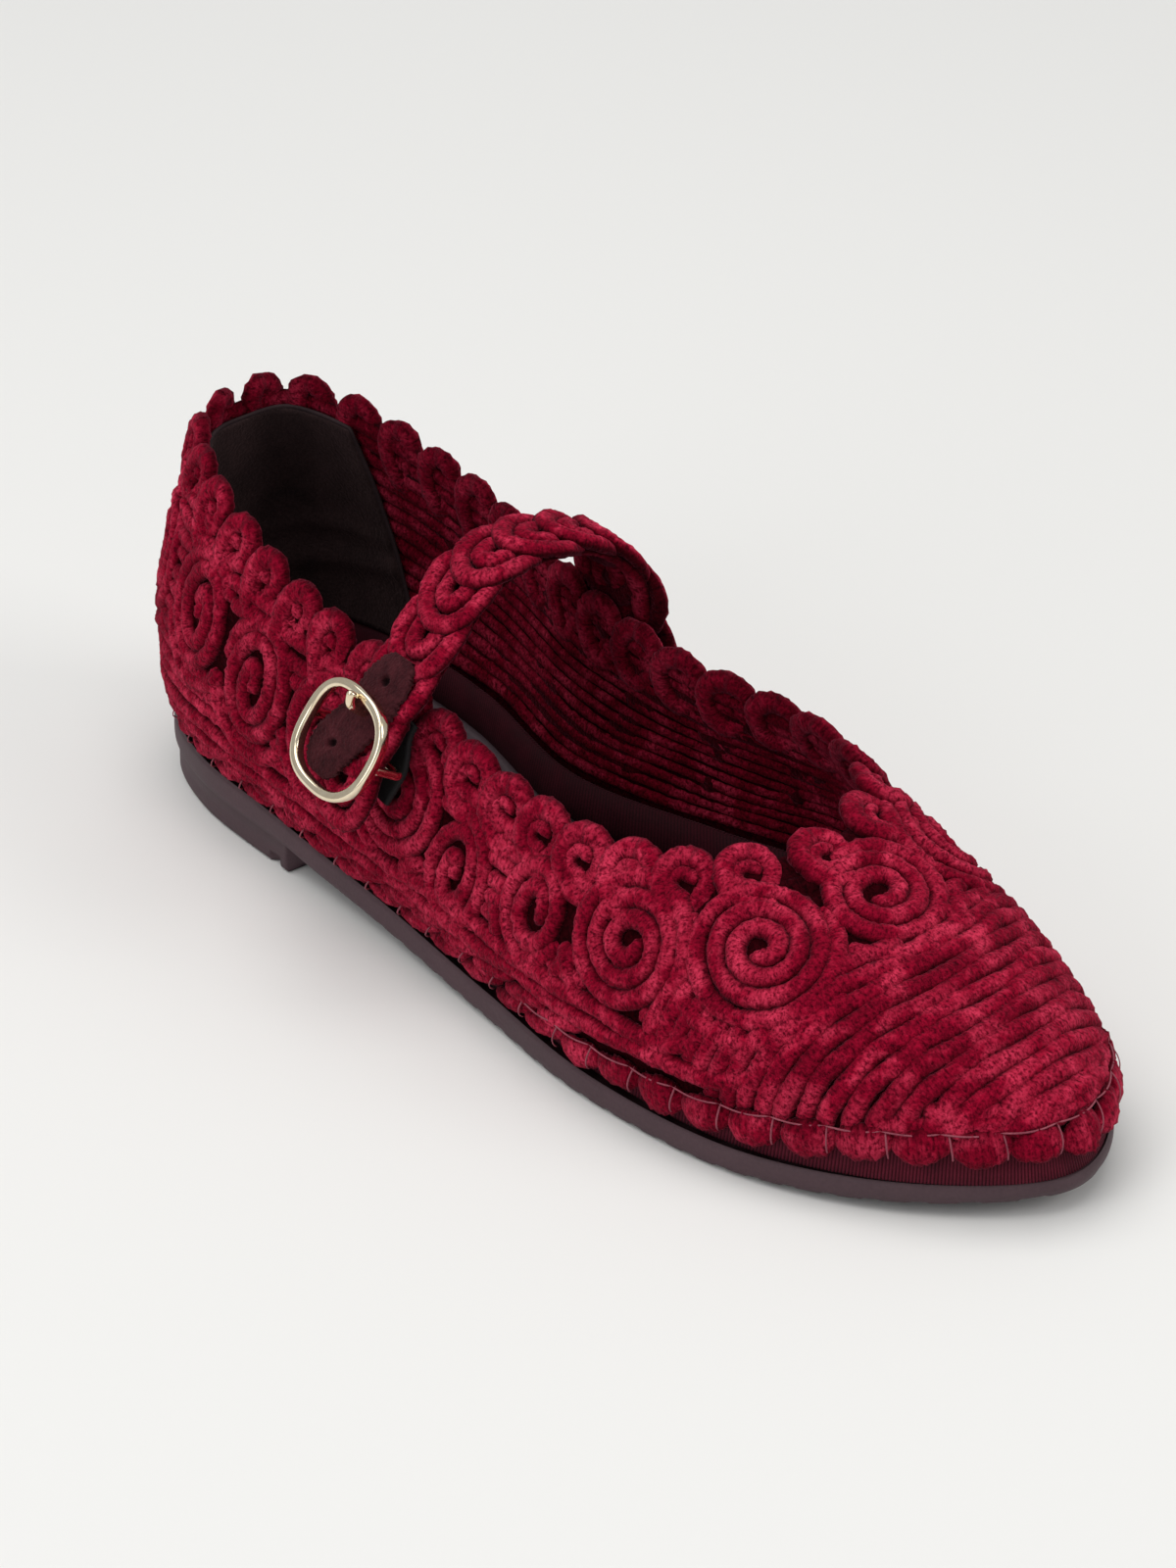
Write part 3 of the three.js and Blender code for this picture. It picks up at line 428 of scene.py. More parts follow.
def buildPileGroup():
    # velvet pile: tufts in lines across the cord and brushed patches, with the brushed tone kept to the
    # crests as painted highlight and painted shade down each cord's sides and in the grooves between
    # the cords
    group, board, given, made = newGroup("cordPile", ("Deep", "Lit", "Brushed"),
                                         ("Tuft Scale", "Patch Scale"), ("Color", "Height"))
    coords, maths = board.place(), board.maths
    tufts = board.noise(coords, given["Tuft Scale"], 3.0, 0.65)
    patches = board.noise(coords, given["Patch Scale"], 3.0, 0.55, 0.8)
    crest, tone = board.mark("crest"), board.mark("cordTone")
    strip = board.fill(board.add("CombineXYZ"), {
        "X": board.mark("alongCord"), "Y": maths("MULTIPLY", board.mark("roundCord"), 0.4),
        "Z": tone})
    lines = board.noise(strip.outputs[0], 2.4, 2.5, 0.6, 0.3)
    nap = maths("ADD", maths("MULTIPLY", tufts, 0.55), maths("MULTIPLY", lines, 0.45))
    body = board.mix(board.ramp(nap, 0.37, 0.60), given["Deep"], given["Lit"])
    brushAndCrestHighlight = maths("MULTIPLY", board.ramp(patches, 0.46, 0.66), board.ramp(nap, 0.42, 0.58, 0.1, 1.0))
    # painted highlight: the brushed tone fades off the crests
    brushAndCrestHighlight = maths("MULTIPLY", brushAndCrestHighlight, board.ramp(crest, 0.1, 0.9, 0.1, 1.0))
    body = board.mix(brushAndCrestHighlight, body, given["Brushed"])
    # painted shade: darker towards each cord's low sides, its back and the grooves
    grooveShade = board.ramp(crest, 0.0, 0.92, 0.16, 1.0)
    turned = board.ramp(patches, 0.34, 0.5, 0.74, 1.0)
    lift = maths("MULTIPLY", maths("MULTIPLY", grooveShade, turned),
                 board.ramp(tone, -2.5, 2.5, 0.84, 1.14))
    relief = maths("ADD", maths("MULTIPLY", tufts, 0.7), maths("MULTIPLY", lines, 0.3))
    board.fill(made, {"Color": board.shade(body, lift), "Height": relief})
    return group


def buildGrainGroup():
    # fine grain with wide soft clouds, for suede, rubber, ribbon and footbed
    group, board, given, made = newGroup("fineGrain", ("Dark", "Light"),
                                         ("Grain Scale", "Cloud Scale"),
                                         ("Color", "Height", "Rough"))
    coords = board.place()
    grain = board.noise(coords, given["Grain Scale"], 3.0, 0.6)
    clouds = board.noise(coords, given["Cloud Scale"], 4.0, 0.55, 0.4)
    blend = board.maths("ADD", board.ramp(clouds, 0.3, 0.7, 0.0, 0.6),
                        board.ramp(grain, 0.3, 0.7, 0.0, 0.4))
    board.fill(made, {"Color": board.mix(blend, given["Dark"], given["Light"]), "Height": grain,
                      "Rough": board.ramp(clouds, 0.3, 0.7, -0.06, 0.06)})
    return group


pileGroup = buildPileGroup()
grainGroup = buildGrainGroup()


def newMaterial(name, roughness, specular=0.5, sheen=None, metallic=0.0):
    # sheen is its weight, roughness and tint
    material = bpy.data.materials.new(name)
    material.use_nodes = True
    board = NodeBoard(material.node_tree)
    shader = material.node_tree.nodes["Principled BSDF"]
    board.fill(shader, {"Roughness": roughness, "Specular IOR Level": specular,
                        "Metallic": metallic})
    if sheen:
        board.fill(shader, dict(zip(("Sheen Weight", "Sheen Roughness", "Sheen Tint"), sheen)))
    return material, board, shader


chenilleLook = {
    "deep": (0.066, 0.0004, 0.0060),
    "lit": (0.335, 0.0036, 0.026),
    "brushed": (0.600, 0.036, 0.086),
    "roughness": 0.9,
    "specular": 0.03,
    "sheen": 0.17,
    "sheenSpread": 0.35,
    "sheenTint": (1.0, 0.22, 0.34),
    "tuftScale": 1300.0,
    "patchScale": 120.0,
    "bump": 0.9,
    "bumpDeep": 0.0008,
}


# paintedShade scales every pile colour down, for shaded copies of the cord
def chenille(name, paintedShade=1.0, sheen=1.0):
    look = chenilleLook
    material, board, shader = newMaterial(
        name, look["roughness"], look["specular"],
        (look["sheen"] * sheen, look["sheenSpread"], look["sheenTint"]))
    node = board.add("Group", node_tree=pileGroup)
    for label in ("deep", "lit", "brushed"):
        board.give(tuple(c * paintedShade for c in look[label]), node.inputs[label.title()])
    board.fill(node, {"Tuft Scale": look["tuftScale"], "Patch Scale": look["patchScale"]})
    board.give(node.outputs["Color"], shader.inputs["Base Color"])
    board.bump(shader, node.outputs["Height"], look["bump"], look["bumpDeep"])
    return material


# dark, light, grain scale, cloud scale, roughness, bump, its depth, specular, sheen
grainedLooks = {
    "plumRubber": ((0.050, 0.026, 0.032), (0.082, 0.045, 0.054), 1500.0, 45.0,
                   0.6, 0.25, 0.0002, 0.3),
    "plumFootbed": ((0.054, 0.037, 0.044), (0.088, 0.060, 0.070), 2300.0, 35.0,
                    0.62, 0.3, 0.0002, 0.25),
    "grosgrainRibbon": ((0.060, 0.004, 0.012), (0.150, 0.013, 0.030), 2600.0, 160.0,
                        0.8, 0.3, 0.0002, 0.15, (0.05, 0.4, (1.0, 0.4, 0.5))),
    "darkLining": ((0.0075, 0.0042, 0.0044), (0.036, 0.020, 0.020), 1500.0, 110.0,
                   0.95, 0.8, 0.0006, 0.1, (0.12, 0.5, (0.8, 0.5, 0.5))),
    "liningBinding": ((0.014, 0.008, 0.009), (0.036, 0.020, 0.022), 2200.0, 200.0,
                      0.8, 0.4, 0.0002, 0.2),
    "burgundySuede": ((0.018, 0.0032, 0.005), (0.078, 0.016, 0.021), 1500.0, 260.0,
                      0.95, 0.9, 0.0006, 0.08, (0.08, 0.45, (1.0, 0.5, 0.55))),
    "blackWebbing": ((0.0035, 0.0035, 0.004), (0.013, 0.012, 0.013), 2400.0, 150.0,
                     0.8, 0.4, 0.0002, 0.25),
    "sewingThread": ((0.16, 0.020, 0.040), (0.34, 0.08, 0.11), 3000.0, 300.0,
                     0.6, 0.2, 0.0001, 0.3),
}
shadedBy = {"grosgrainRibbon": "ribLight", "burgundySuede": "pitLight"}


def grained(name, dark, light, grainScale, cloudScale, roughness, bump, bumpDeep, specular,
            sheen=None):
    material, board, shader = newMaterial(name, roughness, specular, sheen)
    node = board.fill(board.add("Group", node_tree=grainGroup), {
        "Dark": dark, "Light": light, "Grain Scale": grainScale, "Cloud Scale": cloudScale})
    colour = node.outputs["Color"]
    if name in shadedBy:
        colour = board.shade(colour, board.mark(shadedBy[name]))
    board.fill(shader, {"Base Color": colour,
                        "Roughness": board.maths("ADD", node.outputs["Rough"], roughness)})
    board.bump(shader, node.outputs["Height"], bump, bumpDeep)
    return material


def goldMetal():
    material, board, shader = newMaterial("paleGold", 0.16, metallic=1.0)
    rub = board.noise(board.place(), 340.0, 4.0, 0.6, 0.3)
    board.fill(shader, {
        "Base Color": board.mix(board.ramp(rub, 0.35, 0.7), (0.90, 0.79, 0.60), (0.80, 0.66, 0.47)),
        "Roughness": board.ramp(rub, 0.3, 0.75, 0.07, 0.18)})
    return material


cordMaterial = chenille("chenilleCord")
# painted shade: a darker copy of the cord for the inside rows and the strap's underside
shadedInnerCordMaterial = chenille("chenilleInside", 0.62, 0.3)
# painted shade: a still darker copy without sheen, for the ground between the cords
shadedBackingMaterial = chenille("chenilleBacking", 0.6, 0.0)
goldMaterial = goldMetal()
grainedMaterials = {name: grained(name, *look) for name, look in grainedLooks.items()}
print("materials made")


def makeFloor():
    mesh = bpy.data.meshes.new("studioFloor")
    half = room["floorHalf"]
    mesh.from_pydata([(-half, -half, 0), (half, -half, 0), (half, half, 0), (-half, half, 0)], [],
                     [(0, 1, 2, 3)])
    material, board, shader = newMaterial("paleFloor", 0.7, 0.2)
    tone = room["floorTone"]
    cloud = board.noise(board.place(), 2.0)
    paler = tuple(c * room["paler"] for c in tone)
    board.give(board.mix(cloud, tone, paler), shader.inputs["Base Color"])
    mesh.materials.append(material)
    floor = bpy.data.objects.new("studioFloor", mesh)
    bpy.context.scene.collection.objects.link(floor)


makeFloor()

# meshes


def makePiece(name, points, faces, material, node, slot, marks=None):
    # one piece from points in shoe millimetres
    mesh = bpy.data.meshes.new(name)
    mesh.from_pydata(((np.asarray(points) - middle) * mm).tolist(), [], faces)
    mesh.update()
    mesh.polygons.foreach_set("use_smooth", [True] * len(mesh.polygons))
    for label, values in (marks or {}).items():
        layer = mesh.attributes.new(label, "FLOAT", "POINT")
        layer.data.foreach_set("value", np.asarray(values, np.float32))
    mesh.materials.append(material)
    piece = bpy.data.objects.new(name, mesh)
    bpy.context.scene.collection.objects.link(piece)
    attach(piece, "root")
    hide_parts(node)


def makeSolid(name, points, faces, *rest):
    # faces turned so that the closed mesh has a positive volume
    points = np.asarray(points)
    volume = sum(points[f[0]] @ np.cross(points[f[k]], points[f[k + 1]])
                 for f in faces for k in range(1, len(f) - 1))
    makePiece(name, points, faces if volume > 0 else [f[::-1] for f in faces], *rest)


def tubeFaces(rows, count, closed=False, capped=False, base=0):
    # quads between rows of points that run round, and caps on the first and last row
    i = np.arange(rows if closed else rows - 1)[:, None] * count
    j = np.arange(count)[None]
    k = (j + 1) % count
    ahead = (i + count) % (rows * count)
    faces = (np.stack([i + j, i + k, ahead + k, ahead + j], -1).reshape(-1, 4) + base).tolist()
    if capped:
        first = [base + q for q in range(count)]
        faces += [first[::-1], [(rows - 1) * count + q for q in first]]
    return faces


def makeSheet(name, face, back, *rest):
    # closed sheet between two grids of points
    rows, columns = face.shape[:2]
    shift = rows * columns
    grid = np.arange(shift).reshape(rows, columns)
    a = grid[:-1, :-1].ravel()
    b, c, d = a + 1, a + columns + 1, a + columns
    cells = np.stack([np.stack([a, b, c, d], 1), np.stack([a, d, c, b], 1) + shift], 1)
    border = np.concatenate([grid[0], grid[1:, -1], grid[-1, -2::-1], grid[-2:0:-1, 0]])
    ahead = np.roll(border, -1)
    walls = np.stack([border, border + shift, ahead + shift, ahead], 1)
    faces = cells.reshape(-1, 4).tolist() + walls.tolist()
    makeSolid(name, np.concatenate([face, back]).reshape(-1, 3), faces, *rest)


cord = {
    "half": shoe["cordWide"] / 2,
    "halfDeep": 1.9,
    "sides": 12,
    "step": 0.8,
    "rough": 0.055,
    "lumpy": 0.045,
    "lumpEvery": 5,
    "back": 0.36,
}


def evenSteps(points, normals, step, closed):
    # the same line with points at even steps
    if closed:
        points, normals = np.vstack([points, points[:1]]), np.vstack([normals, normals[:1]])
    lengths = wayAlong(points)
    count = max(3, int(round(lengths[-1] / step)) + (0 if closed else 1))
    at = np.linspace(0, lengths[-1], count, endpoint=not closed)
    line, out = (np.stack([np.interp(at, lengths, values[:, k]) for k in range(3)], 1)
                 for values in (points, normals))
    return line, unit(out), at, lengths[-1]


class CordBundle:
    # many cords joined in one mesh
    def __init__(self, sides=cord["sides"], step=cord["step"], rough=cord["rough"]):
        self.sides, self.step, self.rough = sides, step, rough
        self.points, self.faces, self.count = [], [], 0
        self.marks = {"crest": [], "cordTone": [], "alongCord": [], "roundCord": []}

    def swellAlong(self, at, total, half, closed, shape):
        # uneven thickness, and round ends
        swell = np.ones(len(at)) if shape is None else shape(at, total)
        lumps = pile.normal(0, 1, max(4, int(total / cord["lumpEvery"]) + 3))
        lumpsAt = np.linspace(0, total, len(lumps))
        swell = swell * (1 + cord["lumpy"] * np.interp(at, lumpsAt, lumps))
        if not closed:
            share = np.minimum(np.minimum(at, total - at) / min(half, total / 2), 1)
            swell = swell * np.sqrt(np.clip(1 - (1 - share) ** 2, 0.02, 1))
        return swell[:, None]

    def lay(self, points, normals, half=cord["half"], deep=cord["halfDeep"], closed=False,
            shape=None, back=cord["back"], bothSides=False):
        # one cord, back is the depth of its hidden side, bothSides shows it lit from behind too
        line, out, at, total = evenSteps(points, normals, self.step, closed)
        n, sides = len(line), self.sides
        ahead = unit(np.roll(line, -1, 0) - np.roll(line, 1, 0) if closed
                     else np.gradient(line, axis=0))
        side = unit(np.cross(out, ahead))
        out = np.cross(ahead, side)
        swell = self.swellAlong(at, total, half, closed, shape)
        angle = fullTurn * (np.arange(sides) + 0.5) / sides
        grain = 1 + pile.normal(0, self.rough, (n, sides))
        high = np.sin(angle)
        width = swell * half * np.cos(angle) * grain
        depth = swell * deep * np.where(high < 0, back * high, high) * grain
        rings = line[:, None] + side[:, None] * width[..., None] + out[:, None] * depth[..., None]
        self.points.append(rings.reshape(-1, 3))
        # crest steers the pile's painted shade on the low sides and its painted highlight on the
        # crests; bothSides keeps the backs out of that shade
        crest = np.maximum(high, -0.7 * high) if bothSides else high
        self.marks["crest"].append(np.tile(crest, n))
        self.marks["cordTone"].append(np.full(n * sides, pile.normal(0, 1)))
        self.marks["alongCord"].append(np.repeat(at + pile.uniform(0, 400), sides))
        self.marks["roundCord"].append(np.tile(np.cos(angle) * 2, n))
        self.faces += tubeFaces(n, sides, closed, not closed, self.count)
        self.count += n * sides

    def sew(self, u, v, depth, *sizes, **how):
        # a cord on the wall
        self.lay(*skin(u, v, depth), *sizes, **how)

    def sewAt(self, column, height, across, up, depth, *sizes, **how):
        # a cord on the wall, drawn flat round one place
        self.sew(*surfacePlace(column, height, across, up), depth, *sizes, **how)

    def sewRuns(self, us, vs, clear, depth, shortest, half=cord["half"]):
        # one cord along every stretch that is clear
        depth = np.broadcast_to(depth, us.shape)
        edges = np.flatnonzero(np.diff(np.concatenate([[0], clear.astype(int), [0]])))
        for first, last in zip(edges[::2], edges[1::2]):
            if last - first < 4:
                continue
            points, normals = skin(us[first:last], vs[first:last], depth[first:last])
            if wayAlong(points)[-1] > shortest:
                self.lay(points, normals, half)

    def finish(self, name, material=cordMaterial, node="upper", slot="chenille"):
        marks = {label: np.concatenate(values) for label, values in self.marks.items()}
        makePiece(name, np.vstack(self.points), self.faces, material, node, slot, marks)
        print(name, self.count, "points")


# upper

# column, height, radius along and up in cord widths for each rosette
coilTable = np.array([
    [2.15, 0.57, 2.6, 3.3],
    [2.80, 0.50, 2.6, 3.4],
    [3.50, 0.52, 2.6, 3.2],
    [4.20, 0.55, 3.0, 3.2],
    [4.80, 0.43, 2.4, 3.0],
    [5.65, 0.53, 2.4, 2.7],
    [6.55, 0.60, 3.4, 3.4],
    [7.95, 0.72, 3.7, 3.7],
    [9.07, 0.82, 3.2, 3.0],
    [10.50, 0.68, 4.0, 3.6],
    [11.95, 0.50, 3.1, 3.5],
    [12.70, 0.43, 2.3, 2.9],
    [13.30, 0.43, 2.4, 2.9],
    [14.05, 0.60, 2.9, 3.4],
    [14.70, 0.50, 2.2, 2.8],
    [15.25, 0.47, 2.8, 3.4],
    [16.05, 0.53, 2.9, 3.8],
    [17.05, 0.55, 2.9, 3.4],
    [18.10, 0.55, 2.9, 3.4],
    [19.15, 0.55, 2.9, 3.4],
])

coils = {
    "pitch": 4.05,
    "heart": 1.3,
    "spread": 1.06,
    "extraTurn": 0.35,
    "heartSink": 0.35,
    "tailSink": 0.9,
    "uneven": 0.08,
    "longOval": 1.5,
    "foldReach": 0.75,
    "foldWide": 0.85,
    "foldSink": 0.15,
    "reachOut": 14.0,
}


def makeCoils():
    # rosettes wound from the heart, which lies a little deeper, as the tail does
    bundle = CordBundle()
    for index, (column, height, alongWide, upWide) in enumerate(coilTable):
        wide, tall = (r * shoe["cordWide"] * coils["spread"] for r in (alongWide, upWide))
        narrow = min(wide, tall)
        radius = narrow - cord["half"]
        turns = (radius - coils["heart"]) / coils["pitch"]
        start = pile.uniform(0, fullTurn)
        angle = np.linspace(0, fullTurn * (turns + coils["extraTurn"]), int(90 * (turns + 1)))
        turned = start + (1 if index % 3 else -1) * angle
        r = np.minimum(coils["heart"] + coils["pitch"] * angle / fullTurn, radius)
        settle = smooth(angle, 0, 2.5)
        sink = coils["heartSink"] * (1 - smooth(angle, 0, 3.0))
        sink = sink + coils["tailSink"] * (1 - smooth(angle[-1] - angle, 0, 0.9))
        bundle.sewAt(column, height, np.cos(turned) * (r + (wide - narrow) * settle),
                     np.sin(turned) * (r + (tall - narrow) * settle),
                     cord["halfDeep"] + sink + pile.normal(0, coils["uneven"]))
        oval = abs(wide - tall)
        if oval > coils["longOval"]:
            # a folded end fills the heart of an oval one
            reach = np.linspace(-coils["foldReach"], coils["foldReach"], 14) * oval
            fold = (reach, 0 * reach) if wide > tall else (0 * reach, reach)
            bundle.sewAt(column, height, *fold, cord["halfDeep"] + coils["foldSink"],
                         cord["half"] * coils["foldWide"])
    bundle.finish("chenilleRosettes")


def clearOfCoils(points, margin):
    # True where a point on the wall is outside every rosette
    clear = np.ones(len(points), bool)
    for column, height, alongWide, upWide in coilTable:
        unitAcross, unitUp, normal = planeAt(column, height)
        away = points - lastPoint(column, height)
        across = away @ unitAcross / (alongWide * shoe["cordWide"])
        up = away @ unitUp / (upWide * shoe["cordWide"])
        near = np.abs(away @ normal) < coils["reachOut"]
        clear &= ~((across**2 + up**2 < margin**2) & near)
    return clear


longRows = {
    "whole": ((7.6, 1.75), (11.4, 2.05)),  # way up the wall, columns left free at the toe
    "endRise": 3.5,
    "endReach": 0.35,
    "freeAtToe": 2.2,
    "highest": 62.0,
    "underCollar": 9.5,
    "spacing": 0.93,
    "margin": 0.92,
    "sink": 0.65,
    "shortest": 5.0,
}

hugging = {
    "from": 1.08 * math.pi,
    "to": 1.92 * math.pi,
    "out": 2.3,
    "overRows": 1.0,
    "sink": 0.05,
    "endSink": 0.5,
    "shortest": 6.0,
}


def makeLongRows():
    bundle = CordBundle()
    for way, toeEnd in longRows["whole"]:
        u = np.linspace(toeSection + toeEnd, toeSection + sections - toeEnd, 1400)
        fromEnd = np.minimum(u - u[0], u[-1] - u)
        rise = longRows["endRise"] * (1 - smooth(fromEnd, 0, longRows["endReach"]))
        drift = wave(u, 0.35, 5.1, way) + wave(u, 0.25, 11.3, way)
        bundle.sew(u, wall.placeUp(u, way + rise + drift), cord["halfDeep"] + wave(u, 0.1, 3.7, way))
    topWay = longRows["whole"][-1][0]
    level = topWay + shoe["cordWide"]
    free = toeSection + longRows["freeAtToe"]
    u = np.linspace(free, sections + toeSection - longRows["freeAtToe"], 2600)
    while level < longRows["highest"]:
        way = level + wave(u, 0.4, 4.3, level)
        v = wall.placeUp(u, way)
        clear = clearOfCoils(lastPoint(u, v), longRows["margin"])
        clear &= way < wall.totalAt(u) - longRows["underCollar"]
        bundle.sewRuns(u, v, clear, cord["halfDeep"] + longRows["sink"], longRows["shortest"])
        level += shoe["cordWide"] * longRows["spacing"]
    for column, height, alongWide, upWide in coilTable:
        # a cord that hugs the lower side of each rosette
        angle = np.linspace(hugging["from"], hugging["to"], 120) + pile.normal(0, 0.12)
        wide, tall = (r * shoe["cordWide"] + hugging["out"] for r in (alongWide, upWide))
        us, vs = surfacePlace(column, height, np.cos(angle) * wide, np.sin(angle) * tall)
        clear = clearOfCoils(lastPoint(us, vs), 1.0)
        clear &= vs > wall.placeUp(us, topWay + hugging["overRows"])
        ends = np.abs(np.linspace(-1, 1, len(us))) ** 3
        depth = cord["halfDeep"] + hugging["sink"] + hugging["endSink"] * ends
        bundle.sewRuns(us, vs, clear, depth, hugging["shortest"])
    bundle.finish("chenilleLongRows")


edgeCord = {
    "pitch": 11.0,
    "toeReach": 3.3,
    "toeWay": -0.3,
    "toeHalf": 4.0,
    "toeLong": 1.14,
    "toeSlant": 0.35,
    "toeProud": 1.2,
    "sideWays": (1.9, 4.9),
    "sideHalf": 2.15,
    "sideLong": 1.45,
    "sideSlant": 1.5,
    "sideProud": (0.9, 0.6),
    "mostDrop": 2.2,
    "ribbonFree": 1.2,
}

edgeGrid = np.linspace(0, sections, 2001)
edgeLengths = wayAlong(lastPoint(edgeGrid, wall.placeUp(edgeGrid, 2.0)))
stitchCount = round(edgeLengths[-1] / edgeCord["pitch"])
stitchPitch = edgeLengths[-1] / stitchCount


def edgeColumn(length):
    return np.interp(length % edgeLengths[-1], edgeLengths, edgeGrid)


def lens(at, whole):
    # thin ends and a plump middle
    return 0.72 + 0.28 * np.sin(math.pi * at / whole)


def sewStrand(bundle, centre, long, way, slant, half, proud):
    # short slanting strand along the upper's lower edge
    step = np.linspace(-0.5, 0.5, 26)
    u = np.unwrap(edgeColumn(centre + step * long), period=sections)
    ways = way + slant * step * 2 + 0.25 * np.sin(step * 5)
    depth = cord["halfDeep"] - proud * np.cos(step * math.pi) + 0.5
    bundle.sew(u, wall.placeUp(u, ways), depth, half, shape=lens)


def makeEdgeCord():
    # plump lumps between the toe's stitches, two rows of slanting strands along the sides
    bundle = CordBundle(14, 0.6, cord["rough"] * 1.2)
    for k in range(stitchCount):
        centre = (k + 0.5) * stitchPitch
        here = float(edgeColumn(centre))
        if abs(here - toeSection) < edgeCord["toeReach"]:
            half = edgeCord["toeHalf"] * (1 + pile.normal(0, 0.05))
            sewStrand(bundle, centre, stitchPitch * edgeCord["toeLong"],
                      edgeCord["toeWay"] + pile.normal(0, 0.25), edgeCord["toeSlant"], half,
                      edgeCord["toeProud"])
            continue
        ribbonSeen = float(soleHeights(outlineAt(here)[0][1])[2]) * shoe["ribbonShow"]
        drop = min(edgeCord["mostDrop"], max(0.0, ribbonSeen - edgeCord["ribbonFree"]))
        for row, way in enumerate(edgeCord["sideWays"]):
            shift = stitchPitch * 0.5 * row + pile.normal(0, 0.3)
            sewStrand(bundle, centre + shift, stitchPitch * edgeCord["sideLong"],
                      way - drop * (1 - 0.5 * row) + pile.normal(0, 0.12),
                      edgeCord["sideSlant"] + pile.normal(0, 0.2), edgeCord["sideHalf"],
                      edgeCord["sideProud"][row])
    bundle.finish("chenilleEdgeCord")


toeCords = {
    "first": 0.838,
    "last": 0.986,
    "spacing": 0.72,
    "bow": 0.3,
    "half": 1.04,
    "low": 1.4,
    "fanBack": 7,
    "fanFrom": 3,
    "fanRise": 1.8,
    "mostFanRise": 8.0,
    "fanSink": 0.3,
    "fanTop": 0.9,
    "endSink": 1.1,
    "shortest": 8.0,
    "tips": ((5.0, 1.15), (8.4, 0.75)),  # way up the wall, columns to each side
}


def toeRow(line, low):
    # places of one bowed row, from the upper's edge on one side to the other
    bow = shoe["halfBall"] * toeCords["bow"]

    def behind(u, v):
        point = lastPoint(u, v)
        return point[..., 1] + bow * (point[..., 0] / shoe["halfBall"]) ** 2 < line

    ends = []
    for side in (-1, 1):
        near, _ = halve(np.zeros(1), np.full(1, 4.0), 26, lambda away: behind(
            toeSection + side * away, wall.placeUp(toeSection + side * away, low)))
        ends.append(toeSection + side * float(near[0]))
    us = np.linspace(*ends, 260)
    lowV, highV = halve(wall.placeUp(us, low), np.full(len(us), 0.985), 24,
                        lambda v: behind(us, v))
    return us, (lowV + highV) / 2


def makeToeCords():
    bundle = CordBundle()
    first, last = (toeCords[k] * shoe["soleLength"] for k in ("first", "last"))
    count = 2 * round((last - first) / (shoe["cordWide"] * toeCords["spacing"]))
    for k in range(1 - 2 * toeCords["fanBack"], count, 2):
        # rows behind the first one fan in between the rosettes
        fanRise = toeCords["fanRise"] * (-toeCords["fanFrom"] - k)
        low = toeCords["low"] + min(toeCords["mostFanRise"], max(0.0, fanRise))
        us, vs = toeRow(first + k * (last - first) / count, low)
        fromEnd = np.minimum(us - us[0], us[-1] - us)
        depth = cord["halfDeep"] + toeCords["endSink"] * (1 - smooth(fromEnd, 0, 0.12))
        vs = vs + wave(us, 0.004, 9, k)
        clear = np.ones(len(us), bool)
        if k < 1:
            clear = clearOfCoils(lastPoint(us, vs), 0.93) & (vs < toeCords["fanTop"])
            depth = depth + toeCords["fanSink"]
        bundle.sewRuns(us, vs, clear, depth, toeCords["shortest"], cord["half"] * toeCords["half"])
    for way, reach in toeCords["tips"]:
        # short rows that follow the lumps round the very tip
        us = np.linspace(toeSection - reach, toeSection + reach, 60)
        bundle.sew(us, wall.placeUp(us, way), cord["halfDeep"] + 0.35)
    bundle.finish("chenilleToeRows")


collarLoops = {
    "half": 2.45,
    "step": 0.75,
    "tallBack": 18.0,
    "tallFront": 16.0,
    "overlap": 1.44,
    "inset": 0.4,
    "slimBack": 1.3,
    "footNarrow": (0.25, 0.35),
    "twist": 0.20,
    "lean": 0.85,
    "sink": 0.6,
    "seenBack": 0.8,
    "curl": (2.2, 7.6),
    "curlHalf": 1.5,
    "curlIn": 0.14,
    "curlSink": 0.5,
    "tail": 8.5,
    "tailHalf": 0.95,
    "tailSink": (0.15, 0.5),
}


def collarColumns():
    grid = np.linspace(0, sections, 1441)
    lengths = wayAlong(lastPoint(grid, np.ones(len(grid))))
    at = lengths[-1] * (np.arange(shoe["loopCount"]) + 0.5) / shoe["loopCount"]
    return np.interp(at, lengths, grid), lengths[-1] / shoe["loopCount"]


def sewLoop(bundle, place, halfWide, halfTall, back):
    # drop with a narrow foot, leaning on its neighbour
    angle = np.linspace(0, fullTurn, 72, endpoint=False)
    lower = (1 - np.cos(angle)) / 2
    slim, slimmer = collarLoops["footNarrow"]
    twist = pile.normal(0, 0.10) + collarLoops["twist"] * back
    x = halfWide * np.sin(angle) * (1 - (slim + slimmer * back) * lower)
    y = halfTall * np.cos(angle)
    depth = (cord["halfDeep"] - shoe["loopRise"] + collarLoops["sink"] * (1 + lower)
             + collarLoops["lean"] * np.sin(angle))
    bundle.sewAt(*place, x * math.cos(twist) + y * math.sin(twist),
                 -x * math.sin(twist) + y * math.cos(twist), depth, collarLoops["half"],
                 closed=True, back=collarLoops["seenBack"], bothSides=True)


